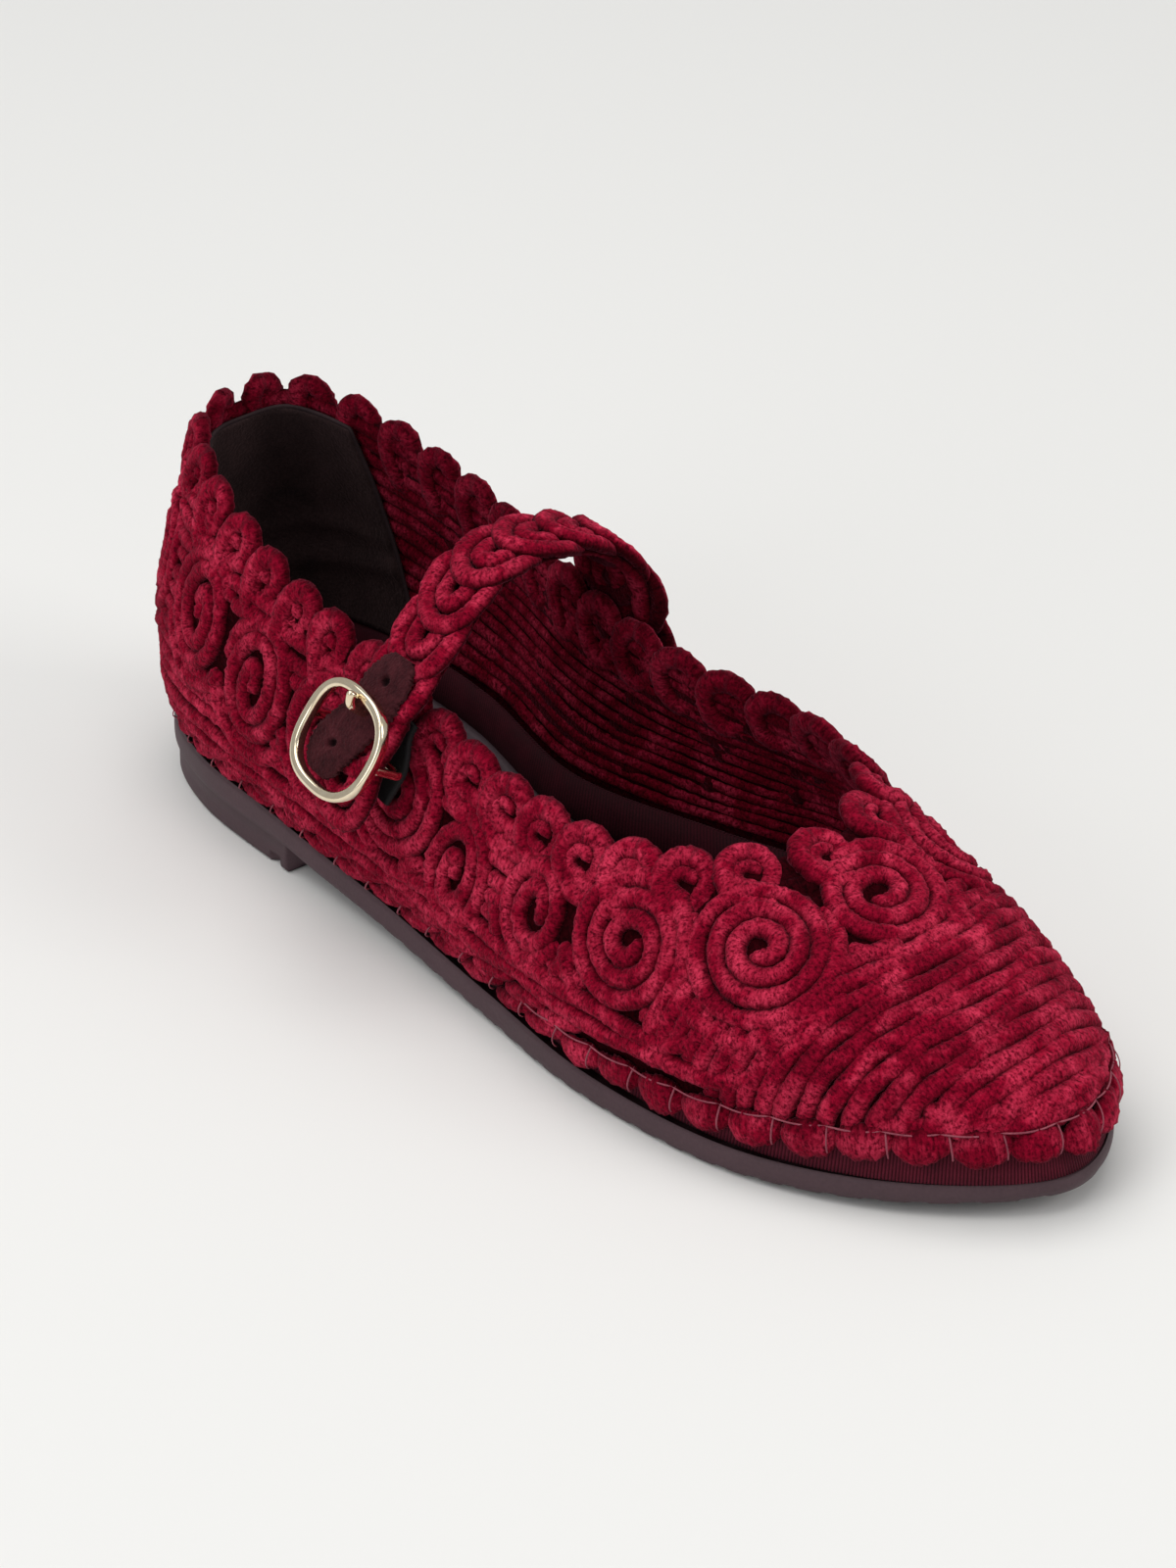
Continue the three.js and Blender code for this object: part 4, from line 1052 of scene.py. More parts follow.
def makeCollarLoops():
    # loops in a row, each with a curl in its heart and a tail that runs on under the next
    bundle = CordBundle(step=collarLoops["step"])
    columns, pitch = collarColumns()
    half = collarLoops["half"]
    curl = np.linspace(*collarLoops["curl"], 40)
    inside = 1 - collarLoops["curlIn"] * np.linspace(0, 1, len(curl))
    curlDepth = cord["halfDeep"] - shoe["loopRise"] + collarLoops["curlSink"]
    run = np.linspace(0, 1, 16)
    sink, moreSink = collarLoops["tailSink"]
    for column in columns:
        fromToe = abs((column + toeSection) % sections - toeSection)
        back = float(smooth(fromToe, 5.5, 3.0))
        tall = collarLoops["tallFront"] + (collarLoops["tallBack"] - collarLoops["tallFront"]) * back
        tall *= 1 + pile.normal(0, 0.03)
        halfWide = (pitch * collarLoops["overlap"] / 2 - half - collarLoops["inset"]
                    - collarLoops["slimBack"] * back)
        halfTall = tall / 2 - half
        way = wall.totalAt(column) - tall / 2 + pile.normal(0, 0.2)
        place = float(column), float(wall.placeUp(column, way))
        sewLoop(bundle, place, halfWide, halfTall, back)
        bundle.sewAt(*place, (halfWide - half - 0.15) * inside * np.sin(curl),
                     (halfTall - half - 0.55) * inside * np.cos(curl) - 0.2, curlDepth,
                     collarLoops["curlHalf"], collarLoops["curlHalf"],
                     back=collarLoops["seenBack"], bothSides=True)
        bundle.sewAt(*place, -0.2 * pitch + collarLoops["tail"] * run,
                     -halfTall - 0.6 * np.sin(run * math.pi) - 1.0 * run,
                     cord["halfDeep"] + sink + moreSink * run, cord["half"] * collarLoops["tailHalf"])
    bundle.finish("chenilleCollarLoops")


innerRows = {
    "count": 13,
    "sides": 8,
    "step": 1.5,
    "halfDeep": 1.25,
    "overRibbon": 0.5,
    "underRim": 5.0,
    "overlap": 1.12,
}


def makeInnerRows():
    # rows along the inside, as wide as the wall's height leaves them
    bundle = CordBundle(innerRows["sides"], innerRows["step"])
    u = np.linspace(0, sections, 900, endpoint=False)
    line = np.linspace(0, 1, len(u), endpoint=False)
    start = shoe["ribbonHidden"] + innerRows["overRibbon"]
    room = wall.totalAt(u) - innerRows["underRim"] - start
    wide = room / innerRows["count"] / 2 * innerRows["overlap"] / cord["half"]
    for k in range(innerRows["count"]):
        way = start + room * (k + 0.5) / innerRows["count"] + wave(u, 0.25, 6, k)
        points, normals = skin(u, wall.placeUp(u, way), shoe["wallThick"] - innerRows["halfDeep"])
        bundle.lay(points, -normals, deep=innerRows["halfDeep"], closed=True,
                   shape=lambda at, whole: np.interp(at / whole, line, wide))
    bundle.finish("chenilleInnerRows", shadedInnerCordMaterial)


backing = {
    "outer": 1.9,
    "inner": 2.9,
    "low": 0.9,
    "underRim": 6.5,
    # crest value that puts the whole ground in the pile's painted groove shade
    "dark": -0.2,
}


def makeBacking():
    # ground between the cords, darkened as painted shade in the gaps
    u = np.linspace(0, sections, 240, endpoint=False)
    shares = np.linspace(0, 1, 12)
    rows = []
    for depth, order in ((backing["outer"], shares), (backing["inner"], shares[::-1])):
        for share in order:
            way = backing["low"] + (wall.totalAt(u) - backing["underRim"] - backing["low"]) * share
            rows.append(skin(u, wall.placeUp(u, way), depth)[0])
    count = len(rows) * len(u)
    marks = {"crest": np.full(count, backing["dark"]), "cordTone": np.zeros(count)}
    makeSolid("chenilleBacking", np.vstack(rows), tubeFaces(len(rows), len(u), True),
              shadedBackingMaterial, "upper", "chenille", marks)


stitches = {
    "half": 0.2,
    "lineWay": 3.4,
    "lowWay": -3.8,
    "toeReach": 3.6,
    "slant": 0.012,
    "bulge": 1.45,
    "sag": 0.5,
}


def makeStitches():
    # a thread over every dip of the edge, joined by a sagging line round the toe
    bundle = CordBundle(5, 0.9, 0.03)
    half = stitches["half"]
    for k in range(stitchCount):
        u = float(edgeColumn(k * stitchPitch))
        low = stitches["lowWay"] * float(smooth(abs(u - toeSection), 4.2, 3.0))
        ways = np.linspace(low, stitches["lineWay"] + 0.3, 16)
        across = u + stitches["slant"] * (ways - 2) + pile.normal(0, 0.01)
        bulge = np.sin(np.linspace(0, 1, len(ways)) * math.pi)
        bundle.sew(across, wall.placeUp(across, ways), 0.85 - stitches["bulge"] * bulge, half, half)
        if abs(u - toeSection) < stitches["toeReach"]:
            run = np.linspace(u, float(edgeColumn((k + 1) * stitchPitch)), 24)
            sag = stitches["sag"] * np.sin(np.linspace(0, math.pi, 24))
            way = stitches["lineWay"] + 0.2 - sag
            bundle.sew(run, wall.placeUp(run, way), 0.25 - 0.5 * sag, half, half)
    bundle.finish("edgeStitches", grainedMaterials["sewingThread"])


makeCoils()
makeLongRows()
makeEdgeCord()
makeToeCords()
makeCollarLoops()
makeInnerRows()
makeBacking()
makeStitches()
print("upper sewn")

# sole, ribbon and footbed

sole = {
    "columns": 720,
    "grid": 24,
    "restStart": 0.595,
    "restEnd": 0.754,
    "treadPitch": 7.0,
    "treadWide": 2.2,
    "treadDeep": 1.1,
    "treadFrom": 20.0,
    "treadFull": 40.0,
    "belly": 0.12,
    # inset, height over the floor, share of the tread
    "floorEdge": ((2.4, 0.0, 0.3), (1.5, 0.0, 0.3), (0.5, 0.45, 0.24), (0.0, 1.6, 0.0)),
    # inset, way under the top
    "topEdge": ((0.0, 0.9), (0.18, 0.35), (0.6, 0.0)),
}

heelBlock = {
    "columns": 161,
    "grid": 16,
    "inset": 0.8,
    "breast": 0.6,
    "notchBack": 6.0,
    "notchWide": 2.2,
    "notchDeep": 1.2,
    "notchHigh": 2.6,
    # set in by, height
    "profile": ((3.2, 0.0), (0.9, 0.0), (0.45, 0.2), (0.12, 0.55), (0.0, 1.0), (0.0, 2.6),
                (0.0, 2.75), (0.0, 3.6), (0.0, shoe["archRise"] + 1.0)),
}


def undersideAt(y):
    start, end = sole["restStart"] * shoe["soleLength"], sole["restEnd"] * shoe["soleLength"]
    arch = shoe["archRise"] * np.clip((start - y) / (start - shoe["heelLong"]), 0, 1) ** 1.5
    toe = shoe["toeSpring"] * np.clip((y - end) / (shoe["soleLength"] - end), 0, 2) ** 1.7
    return np.where(y < start, arch, toe)


def tread(y):
    # shallow grooves across the sole
    phase = np.abs(((y / sole["treadPitch"]) % 1) - 0.5) * sole["treadPitch"]
    return sole["treadDeep"] * smooth(phase, sole["treadWide"] / 2 + 0.4, sole["treadWide"] / 2)


def treadAhead(y):
    # the same grooves, from the arch forwards
    heel = shoe["heelLong"]
    return tread(y) * smooth(y, heel + sole["treadFrom"], heel + sole["treadFull"])


def edgeRing(u, inset, heights):
    points = outlineAt(u, inset)[0]
    points[:, 2] = heights
    return points


def levelShape(inner, left, right, shares):
    return np.full(len(inner), (left + right) / 2)


def makeSlab(name, rings, floorShape, topShape, steps, *look, arc=False):
    # solid from rings, with shaped grids over floor and top; the ends of an arc join straight
    count = len(rings[0])
    half = count // 2
    points = list(np.vstack(rings))
    faces = tubeFaces(len(rings), count)
    shares = np.linspace(0, 1, steps + 1)[1:-1]
    for base, shape, turned in ((0, floorShape, True), ((len(rings) - 1) * count, topShape, False)):
        rows = []
        for i in range(0 if arc else 1, half):
            a, b = base + i, base + count - i - (1 if arc else 0)
            inner = points[a] * (1 - shares)[:, None] + points[b] * shares[:, None]
            inner[:, 2] = shape(inner, points[a][2], points[b][2], shares)
            rows.append([a, *range(len(points), len(points) + len(shares)), b])
            points.extend(inner)
        sheet = [[near[c], near[c + 1], far[c + 1], far[c]]
                 for near, far in zip(rows, rows[1:]) for c in range(steps)]
        if not arc:
            sheet += [[base, rows[0][c + 1], rows[0][c]] for c in range(steps)]
        sheet += [[base + half, rows[-1][c], rows[-1][c + 1]] for c in range(steps)]
        faces += [face[::-1] for face in sheet] if turned else sheet
    makeSolid(name, np.array(points), faces, *look)


def makeOutsole():
    u = np.arange(sole["columns"]) / sole["columns"] * sections
    edgeY = outlineAt(u)[0][:, 1]
    rubber, under, bite = soleHeights(edgeY)[0], undersideAt(edgeY), treadAhead(edgeY)
    floorRings = [edgeRing(u, inset, under + z + bite * share) for inset, z, share in sole["floorEdge"]]
    topRings = [edgeRing(u, inset, rubber - drop) for inset, drop in sole["topEdge"]]
    low, high = floorRings[-1][:, 2], topRings[0][:, 2]
    wallRings = [edgeRing(u, -sole["belly"] * math.sin(math.pi * share), low + (high - low) * share)
                 for share in (0.2, 0.4, 0.6, 0.8)]

    def floorShape(inner, left, right, shares):
        return undersideAt(inner[:, 1]) + treadAhead(inner[:, 1])

    makeSlab("rubberOutsole", floorRings + wallRings + topRings, floorShape, levelShape, sole["grid"],
             grainedMaterials["plumRubber"], "outsole", "rubber")


def makeHeelBlock():
    # the heel's own block, set in a little under the slab, with a notch near its straight front
    inset, breastY = heelBlock["inset"], shoe["heelLong"]
    grid = np.linspace(-4, 4, 4001)
    behind = grid[outlineAt(grid, inset)[0][:, 1] < breastY]
    places = np.linspace(behind[0], behind[-1], heelBlock["columns"])
    half = heelBlock["notchWide"] / 2
    fromNotch = np.abs(breastY - outlineAt(places, inset)[0][:, 1] - heelBlock["notchBack"] + half)
    notch = heelBlock["notchDeep"] * smooth(fromNotch, half + 0.3, half)
    rings = []
    for back, z in heelBlock["profile"]:
        cut = notch if z <= heelBlock["notchHigh"] else 0 * notch
        ring = outlineAt(places, inset + back + cut)[0]
        ring[[0, -1], 1] = breastY - back * heelBlock["breast"]
        bite = tread(ring[:, 1]) * (1 if back > 0.5 else 0.4) if z < 0.5 else 0
        ring[:, 2] = z + bite
        rings.append(ring)
    makeSlab("rubberHeelBlock", rings, lambda inner, *_: tread(inner[:, 1]), levelShape,
             heelBlock["grid"], grainedMaterials["plumRubber"], "outsole", "rubber", arc=True)


ribbon = {
    "ribs": 850,
    "ribDeep": 0.3,
    "footOver": 0.03,
    "profile": (0.0, 0.15, 1.0, 0.15),
    # light paints shade into each rib's valley; hiddenLight paints shade on the rows that face inwards
    "light": (1.0, 0.8, 0.35, 0.8),
    "hiddenLight": 0.4,
}


def ribbonRow(u, depth, row):
    share = soleHeights(outlineAt(u)[0][:, 1])[2]
    depth = shoe["wallThick"] + 1.5 * shoe["gap"] + depth
    if row == "foot":
        points = skin(u, wall.edgeAt(u), depth)[0]
        points = points + outlineAt(u)[1] * (shoe["ribbonLean"] * share**2)[:, None]
        points[:, 2] = soleHeights(outlineAt(u)[0][:, 1])[0] + ribbon["footOver"]
        return points
    way = 0.8 - 1.3 * share if row == "edge" else shoe["ribbonHidden"]
    return skin(u, wall.placeUp(u, way), depth)[0]


def makeRibbon():
    count = ribbon["ribs"] * len(ribbon["profile"])
    u = np.arange(count) / count * sections
    rib = ribbon["ribDeep"] * np.tile(ribbon["profile"], ribbon["ribs"])
    foot, edge, top = (ribbonRow(u, rib, row) for row in ("foot", "edge", "top"))
    innerTop, innerFoot = (ribbonRow(u, shoe["ribbonThick"], row) for row in ("top", "foot"))
    rows = [foot, foot * 0.67 + edge * 0.33, foot * 0.33 + edge * 0.67, edge,
            edge * 0.5 + top * 0.5, top, innerTop, innerTop * 0.5 + innerFoot * 0.5, innerFoot]
    # painted shade on the hidden inner rows and in the rib valleys
    seen = [1.0 if r < 4 else ribbon["hiddenLight"] for r in range(len(rows))]
    light = np.outer(seen, np.tile(ribbon["light"], ribbon["ribs"])).ravel()
    makeSolid("grosgrainRibbon", np.vstack(rows), tubeFaces(len(rows), count, True),
              grainedMaterials["grosgrainRibbon"], "ribbon_band", "ribbon", {"ribLight": light})


footbed = {
    "columns": 480,
    "grid": 20,
    "dish": 0.9,
    "shoulder": 0.65,
    "edgeRound": (0.5, 1.6),
    "edgeDrop": 0.15,
}


def makeFootbed():
    u = np.arange(footbed["columns"]) / footbed["columns"] * sections
    inset = shoe["ribbonThick"] + shoe["gap"]
    low, top = ribbonRow(u, inset, "foot"), ribbonRow(u, inset, "top")
    share = shoe["insoleThick"] / (top[:, 2] - low[:, 2])
    high = low + (top - low) * share[:, None]
    high[:, 2] = low[:, 2] + shoe["insoleThick"]
    pull = unit((np.array([low[:, 0].mean(), low[:, 1].mean(), 0]) - high) * [1, 1, 0])
    near, far = footbed["edgeRound"]
    rings = [low, low * (1 - footbed["shoulder"]) + high * footbed["shoulder"], high + pull * near,
             high + pull * far]
    rings[2][:, 2] -= footbed["edgeDrop"]

    def dishShape(inner, left, right, shares):
        sink = footbed["dish"] * np.sin(math.pi * shares) ** 1.2
        return left * (1 - shares) + right * shares - sink

    makeSlab("plumFootbed", rings, levelShape, dishShape, footbed["grid"],
             grainedMaterials["plumFootbed"], "insole", "footbed")


makeOutsole()
makeHeelBlock()
makeRibbon()
makeFootbed()
print("sole, ribbon and footbed made")

# heel lining

lining = {
    "rows": 44,
    "columns": 110,
    "reach": 2.25,
    "slant": 0.8,
    "low": 0.20,
    "high": 0.93,
    "underRim": 2.8,
    "clear": 0.3,
    "folds": ((1.1, 0.36, 0.035), (0.7, 0.47, 0.025), (0.8, 0.42, 0.07)),  # size, place, half width
    "ripple": 0.35,
    "mostFold": 1.5,
    "bindHalf": 0.75,
    "bindSink": 0.95,
}


def liningPlace(share, across):
    u = across * (lining["reach"] - lining["slant"] * (share - lining["low"]))
    hidden = shoe["ribbonHidden"]
    rise = wall.totalAt(u) - lining["underRim"] - hidden
    way = hidden + shoe["gap"] + rise * (share - lining["low"]) / (1 - lining["low"])
    return u, wall.placeUp(u, way)


def makeLining():
    # soft suede with a few slack folds
    share, across = np.meshgrid(np.linspace(lining["low"], lining["high"], lining["rows"]),
                                np.linspace(-1, 1, lining["columns"]), indexing="ij")
    ways = (share - 0.10 * across**2, share + 0.08 * across, across - 0.4 * (share - 0.5))
    shown = (1, smooth(across, 0.7, 0.1), smooth(share, 0.8, 0.4))
    fold = lining["ripple"] * np.sin(across * 9 + share * 7) * np.sin(share * 9) * (1 - across**2)
    for way, seen, (size, place, half) in zip(ways, shown, lining["folds"]):
        fold += size * np.exp(-((way - place) / half) ** 2) * seen
    fold = np.clip(fold, -0.2, lining["mostFold"])
    depth = shoe["wallThick"] + shoe["gap"] + lining["clear"]
    u, v = liningPlace(share, across)
    makeSheet("heelLining", skin(u, v, depth + shoe["liningThick"] + fold)[0], skin(u, v, depth)[0],
              grainedMaterials["darkLining"], "heel_lining", "lining")


def makeLiningBinding():
    bundle = CordBundle(8, 0.9, 0.02)
    low, high = lining["low"], lining["high"]
    path = ([(s, -1) for s in np.linspace(low, high, 40)] + [(high, a) for a in np.linspace(-1, 1, 140)]
            + [(s, 1) for s in np.linspace(high, low, 40)])
    u, v = liningPlace(*np.array(path).T)
    bundle.sew(u, v, shoe["wallThick"] + shoe["gap"] + lining["bindSink"], lining["bindHalf"],
               lining["bindHalf"])
    bundle.finish("liningBinding", grainedMaterials["liningBinding"], "heel_lining", "lining")


makeLining()
makeLiningBinding()
print("lining made")

# strap, patch, buckle and elastic

# out x halfBall, along x soleLength, up x collarHigh, through the middle of the strap
strapBend = np.array([
    [-0.56, 0.382, 0.860],
    [-0.42, 0.382, 0.928],
    [-0.20, 0.383, 0.968],
    [0.05, 0.384, 0.978],
    [0.28, 0.386, 0.945],
    [0.46, 0.388, 0.868],
    [0.62, 0.389, 0.785],
    [0.78, 0.387, 0.694],
    [0.92, 0.382, 0.594],
    [1.01, 0.375, 0.492],
    [1.05, 0.369, 0.415],
])

strap = {
    "thick": 4.0,
    "wide": 17.0,
    "rootWide": 30.0,
    "tabWide": 22.0,
    "rootColumn": 13.9,
    "rootHeights": (0.70, 0.88),
    "prongShare": 0.806,
    "buckleShare": 0.866,
}


def smoothCurve(knots, perSpan=60):
    # centripetal curve through the knots, as points at even steps
    knots = np.asarray(knots, float)
    padded = np.vstack([2 * knots[0] - knots[1], knots, 2 * knots[-1] - knots[-2]])
    t = np.linspace(0, 1, perSpan, endpoint=False)[:, None]
    points = []
    for i in range(len(knots) - 1):
        p0, p1, p2, p3 = padded[i:i + 4]
        d0, d1, d2 = (max(np.linalg.norm(b - a) ** 0.5, 1e-4)
                      for a, b in ((p0, p1), (p1, p2), (p2, p3)))
        m1 = ((p1 - p0) / d0 - (p2 - p0) / (d0 + d1) + (p2 - p1) / d1) * d1
        m2 = ((p2 - p1) / d1 - (p3 - p1) / (d1 + d2) + (p3 - p2) / d2) * d1
        points.append((2 * t**3 - 3 * t**2 + 1) * p1 + (t**3 - 2 * t**2 + t) * m1
                      + (3 * t**2 - 2 * t**3) * p2 + (t**3 - t**2) * m2)
    points = np.vstack(points + [knots[-1:]])
    lengths = wayAlong(points)
    even = np.linspace(0, lengths[-1], 1201)
    return np.stack([np.interp(even, lengths, points[:, k]) for k in range(3)], 1), lengths[-1]


class BentBand:
    # a band's middle line with its directions along, across and out
    def __init__(self, knots):
        self.line, self.length = smoothCurve(knots)
        self.along = unit(np.gradient(self.line, axis=0))

    def frameAt(self, share):
        steps = np.arange(len(self.line))
        at = np.clip(np.asarray(share, float), 0, 1) * steps[-1]
        point, along = (np.stack([np.interp(at, steps, values[:, k]) for k in range(3)], -1)
                        for values in (self.line, self.along))
        along = unit(along)
        across = unit(np.array([0.0, 1.0, 0.0]) - along * along[..., 1:2])
        return point, along, across, np.cross(along, across)

    def place(self, share, side, height, ahead=0):
        point, along, across, out = self.frameAt(share)
        side, height, ahead = (np.asarray(x, float)[..., None] for x in (side, height, ahead))
        return point + along * ahead + across * side + out * height


strapStand = strap["thick"] / 2 + shoe["loopRise"] + 3.5 * shoe["gap"]
strapRoots = skin(strap["rootColumn"], np.array(strap["rootHeights"]), -strapStand)[0]
strapKnots = strapBend * [shoe["halfBall"], shoe["soleLength"], shoe["collarHigh"]]
band = BentBand(np.vstack([strapRoots, strapKnots]))
print("strap is", round(band.length, 1), "mm long")


def strapHalfWidth(share):
    taper = strap["rootWide"] + (strap["wide"] - strap["rootWide"]) * smooth(share, 0.05, 0.32)
    tab = taper + (strap["tabWide"] - strap["wide"]) * smooth(share, 0.9, 0.95)
    toEnd = np.maximum(0, (np.asarray(share) - 0.9) / 0.1)
    return tab / 2 * np.sqrt(1 - 0.75 * toEnd**2)


patch = {
    "from": 0.70,
    "to": 0.945,
    "rows": 96,
    "columns": 40,
    "thick": 1.0,
    "wide": 12.5,
    "slant": 4.2,
    "ragged": 0.14,
    "raggedEdge": 0.2,
    "droop": 0.45,
    "holeShares": (0.75, 0.885, strap["prongShare"]),
    "holeHalf": 0.95,
    "holeDeep": 0.95,
    "holeShade": 0.9,
    "rimRise": 0.12,
}

strapCords = {
    "pitch": 10.6,
    "ahead": 8.8,
    "half": 2.2,
    "deep": 1.65,
    "ovals": ((1.0, 1.0), (0.5, 2.9)),  # reach along, set in by cord halves
    "tilt": 1.35,
    "tuck": 0.8,
    "skew": 0.22,
    "rise": 0.35,
    "flatten": 0.75,
    "underPatch": 0.45,
}

strapUnder = {
    "rows": 4,
    "half": 2.0,
    "deep": 1.1,
    "low": -0.85,
    "widest": 12.5,
    "overlap": 1.08,
}


def makeStrapCords():
    # flat double ovals laid like shingles, each one over the next towards the buckle
    bundle = CordBundle(step=0.75)
    angle = np.linspace(-math.pi, math.pi, 90, endpoint=False)
    half, pitch, ahead = (strapCords[k] for k in ("half", "pitch", "ahead"))
    count = int((band.length - 3) / pitch)
    lead = band.length - count * pitch - ahead - 1.0
    tuck = strapCords["tuck"] * smooth(-np.cos(angle), 0.1, 1.0)
    for k in range(count + 1):
        base = lead + k * pitch
        skew = strapCords["skew"] + pile.normal(0, 0.05)
        halfHere = float(strapHalfWidth(min(1, max(0, (base + 3) / band.length))))
        for reach, inset in strapCords["ovals"]:
            side = max(halfHere + 0.6 - inset * half, 1.6) * np.sin(angle)
            along = base + ahead * reach * np.cos(angle) + skew * side
            share = np.clip(along / band.length, 0.004, 0.996)
            hidden = strapCords["flatten"] * smooth(share, patch["from"] - 0.03, patch["from"] + 0.03)
            lift = strapCords["tilt"] * reach * np.cos(angle) * (1 - hidden) - tuck
            height = strapCords["rise"] - strapCords["underPatch"] * hidden + lift
            bundle.lay(band.place(share, side, height), band.frameAt(share)[3], half,
                       strapCords["deep"], closed=True, back=0.8)
    bundle.finish("chenilleStrapLoops", cordMaterial, "strap")


def makeStrapUnder():
    bundle = CordBundle(10, 1.0)
    rows = strapUnder["rows"]
    share = np.linspace(0.006, 0.985, 260)
    half = np.minimum(strapHalfWidth(share), strapUnder["widest"]) - 1.0
    wide = half / rows * strapUnder["overlap"] / strapUnder["half"]
    for k in range(rows):
        points = band.place(share, ((k + 0.5) / rows * 2 - 1) * half, strapUnder["low"])
        bundle.lay(points, -band.frameAt(share)[3], strapUnder["half"], strapUnder["deep"], back=0.36,
                   shape=lambda at, whole: np.interp(at / whole, np.linspace(0, 1, len(wide)), wide))
    bundle.finish("chenilleStrapUnder", shadedInnerCordMaterial, "strap")


def makePatch():
    # suede tab with ragged sides, drooping edges and punched holes, with painted shade in the holes
    rows, columns = patch["rows"], patch["columns"]
    spread = np.linspace(-1, 1, columns)[None]
    share = np.repeat(np.linspace(patch["from"], patch["to"], rows)[:, None], columns, 1)
    ends = np.abs(np.linspace(-1, 1, rows))
    half = patch["wide"] / 2 * np.sqrt(1 - 0.8 * ends**4) + pile.normal(0, patch["ragged"], rows)
    side = half[:, None] * spread
    low = strap["thick"] / 2 + shoe["gap"]
    droop = patch["droop"] * np.abs(spread) ** 3 + 0.12 * np.sin(share * 95) * spread
    top = low + patch["thick"] - droop + pile.normal(0, 0.03, side.shape)
    edge = (np.abs(spread) > 0.9) * patch["raggedEdge"] * pile.normal(0, 1, side.shape)
    drift = -patch["slant"] * smooth(share, 0.79, 0.92)
    hole = patch["holeHalf"]
    pit = np.ones(side.shape)
    for holeShare in patch["holeShares"]:
        away = np.hypot((share - holeShare) * band.length, side)
        top = top - patch["holeDeep"] * smooth(away, hole + 0.35, hole - 0.35)
        top = top + patch["rimRise"] * np.exp(-((away - 1.5) / 0.4) ** 2)
        # painted shade: darker inside each punched hole
        pit = pit * (1 - patch["holeShade"] * smooth(away, hole + 0.15, hole - 0.25))
    bottom = np.minimum(low - droop * 0.6, top - 0.08)
    face, back = (band.place(share, side + drift + edge, height) for height in (top, bottom))
    makeSheet("suedePatch", face, back, grainedMaterials["burgundySuede"], "strap_patch", "suede",
              {"pitLight": np.tile(pit.ravel(), 2)})


buckle = {
    "across": 24.5,
    "along": 23.5,
    "wire": 2.8,
    "barWire": 1.8,
    "prongWire": 1.8,
    "prongFlat": 1.5,
    "steps": 160,
    "sides": 20,
    "wireSides": 12,
    "squash": 0.76,
    "soften": 6,
    "faceSquare": 0.6,
    "face": 0.74,
    "depth": 0.95,
    "bend": 0.006,
}
ringHigh = strap["thick"] / 2 + shoe["gap"] * 2 + patch["thick"] + buckle["wire"] / 2
barHigh = -strap["thick"] / 2 - shoe["gap"] - buckle["barWire"] / 2
reachAcross = (buckle["across"] - buckle["wire"]) / 2
reachAlong = (buckle["along"] - buckle["wire"]) / 2


def press(x, power):
    return np.sign(x) * np.abs(x) ** power


def ringPath():
    # the ring's middle line, a soft square, at even steps
    a = np.linspace(0, fullTurn, 4001)
    fine = np.stack([press(np.cos(a), buckle["squash"]) * reachAlong,
                     press(np.sin(a), buckle["squash"]) * reachAcross], -1)
    lengths = wayAlong(fine)
    at = np.arange(buckle["steps"]) / buckle["steps"] * lengths[-1]
    path = np.stack([np.interp(at, lengths, fine[:, k]) for k in (0, 1)], 1)
    for _ in range(buckle["soften"]):
        path = (np.roll(path, 1, 0) + 2 * path + np.roll(path, -1, 0)) / 4
    return path


def makeBuckleRing():
    path = ringPath()
    ahead = unit(np.roll(path, -1, 0) - np.roll(path, 1, 0))
    turn = np.arange(buckle["sides"]) / buckle["sides"] * fullTurn
    half = buckle["wire"] / 2
    out = press(np.cos(turn), buckle["faceSquare"]) * half * buckle["face"]
    rise = press(np.sin(turn), buckle["faceSquare"]) * half * buckle["depth"]
    height = (ringHigh + buckle["bend"] * path[:, 0] ** 2)[:, None] + rise[None]
    points = band.place(strap["buckleShare"], path[:, 1:2] - ahead[:, 0:1] * out[None], height,
                        path[:, 0:1] + ahead[:, 1:2] * out[None]).reshape(-1, 3)
    makeSolid("buckleRing", points, tubeFaces(buckle["steps"], buckle["sides"], True), goldMaterial,
              "buckle_frame", "gold")


def makeWire(name, knots, half, flat, node):
    # wire along knots given as ahead, side and height on the buckle's plane
    line = smoothCurve(knots, 20)[0]
    line = line[::max(1, len(line) // 60)]
    ahead = unit(np.gradient(line, axis=0))
    helper = np.array([1.0, 0, 0]) if abs(ahead[len(ahead) // 2][1]) > 0.6 else np.array([0, 1.0, 0])
    side = unit(np.cross(ahead, helper))[:, None]
    up = np.cross(side, ahead[:, None])
    turn = (np.arange(buckle["wireSides"]) / buckle["wireSides"] * fullTurn)[None, :, None]
    grow = np.ones((len(line), 1, 1))
    grow[[0, -1]], grow[[1, -2]] = 0.6, 0.9
    rings = line[:, None] + (side * np.cos(turn) * half * flat + up * np.sin(turn) * half) * grow
    points = band.place(strap["buckleShare"], rings[..., 1], rings[..., 2], rings[..., 0])
    faces = tubeFaces(len(line), buckle["wireSides"], capped=True)
    makeSolid(name, points.reshape(-1, 3), faces, goldMaterial, node, "gold")


def makeBuckleBar():
    reach, low, high = reachAcross, barHigh, ringHigh
    knots = [(0, -reach, high), (0, -reach, 0), (0, -reach, low + 1.0), (0, -reach + 1.0, low),
             (0, 0, low), (0, reach - 1.0, low), (0, reach, low + 1.0), (0, reach, 0),
             (0, reach, high)]
    makeWire("buckleBar", knots, buckle["barWire"] / 2, 1.0, "buckle_frame")


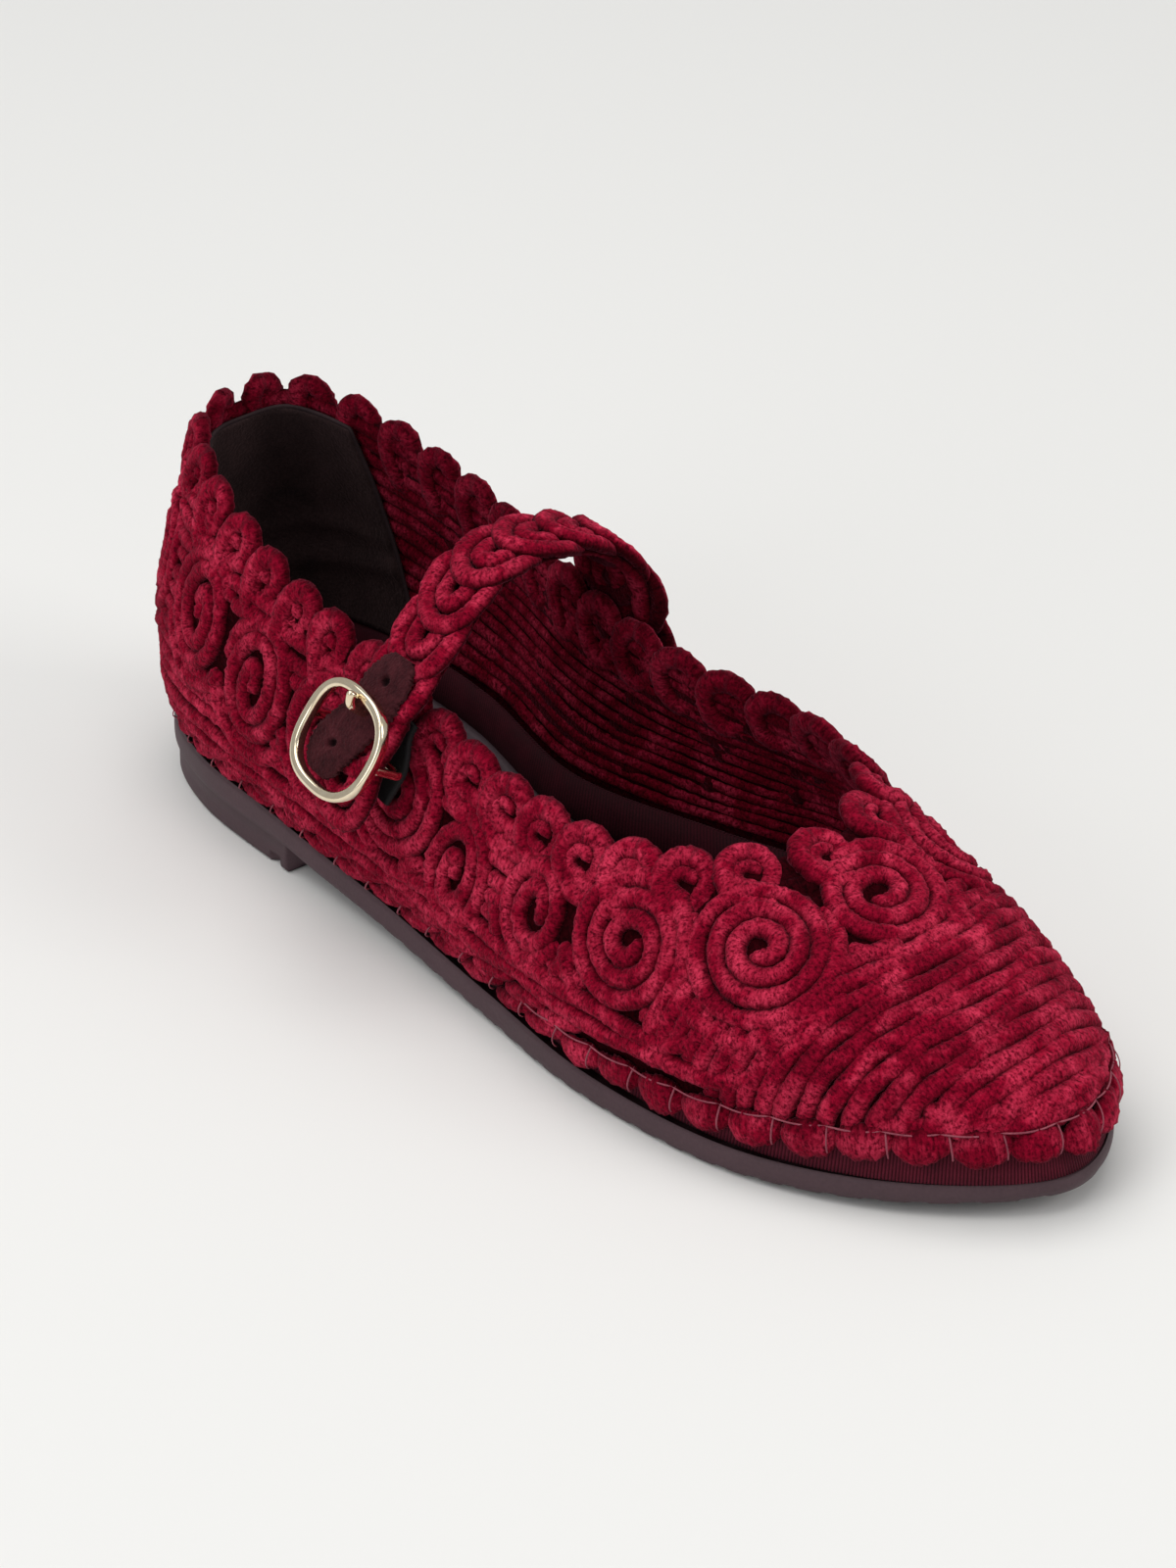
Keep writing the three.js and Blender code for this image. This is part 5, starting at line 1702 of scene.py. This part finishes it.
def makeProng():
    # up from the bar through the hole, over the patch and onto the ring
    hole = (strap["prongShare"] - strap["buckleShare"]) * band.length
    rest = ringHigh + buckle["wire"] / 2 + shoe["gap"] + buckle["prongWire"] / 2 + 0.7
    tip = -buckle["along"] / 2 + buckle["wire"] * 0.45
    knots = [(hole + 0.3, 0, barHigh + 0.8), (hole, 0, -0.5),
             (hole - 0.2, 0, strap["thick"] / 2 + 0.6), (hole - 1.2, 0, rest - 1.1),
             (hole - 3.0, 0, rest), (tip, 0, rest)]
    makeWire("buckleProng", knots, buckle["prongWire"] / 2, buckle["prongFlat"], "buckle_prong")


elastic = {
    "wide": 13.0,
    "thick": 1.2,
    "rootHeight": 0.87,
    "rootAhead": 1.5,
    "pastBar": 7.0,
    "toToe": 3.0,
    "ribPitch": 0.9,
    "ribDeep": 0.16,
    "columns": 16,
}


def makeElastic():
    # webbing from the collar down to the bar and a little past it
    point, along, _, out = band.frameAt(strap["buckleShare"])
    half = elastic["thick"] / 2
    foot = point + out * (barHigh - buckle["barWire"] / 2 - 2.5 * shoe["gap"] - half)
    grid = np.linspace(3, 6, 3001)
    ahead = lastPoint(grid, elastic["rootHeight"])[:, 1] > foot[1] + elastic["rootAhead"]
    stand = 3.2 * shoe["loopRise"] + shoe["gap"] + half
    root = skin(grid[np.argmax(ahead)], elastic["rootHeight"], -stand)[0]
    webbing = BentBand([root, foot, foot + along * elastic["pastBar"]])
    rows = 2 * int(webbing.length / elastic["ribPitch"]) + 1
    share, spread = np.meshgrid(np.linspace(0, 1, rows), np.linspace(-1, 1, elastic["columns"]),
                                indexing="ij")
    side = spread * elastic["wide"] / 2 + elastic["toToe"] * smooth(share, 0.1, 0.6)
    height = half - elastic["ribDeep"] * (np.arange(rows) % 2)[:, None] + 0 * share
    makeSheet("blackElastic", webbing.place(share, side, height), webbing.place(share, side, -height),
              grainedMaterials["blackWebbing"], "elastic_loop", "webbing")


makeStrapCords()
makeStrapUnder()
makePatch()
makeBuckleRing()
makeBuckleBar()
makeProng()
makeElastic()
print("strap and buckle made")
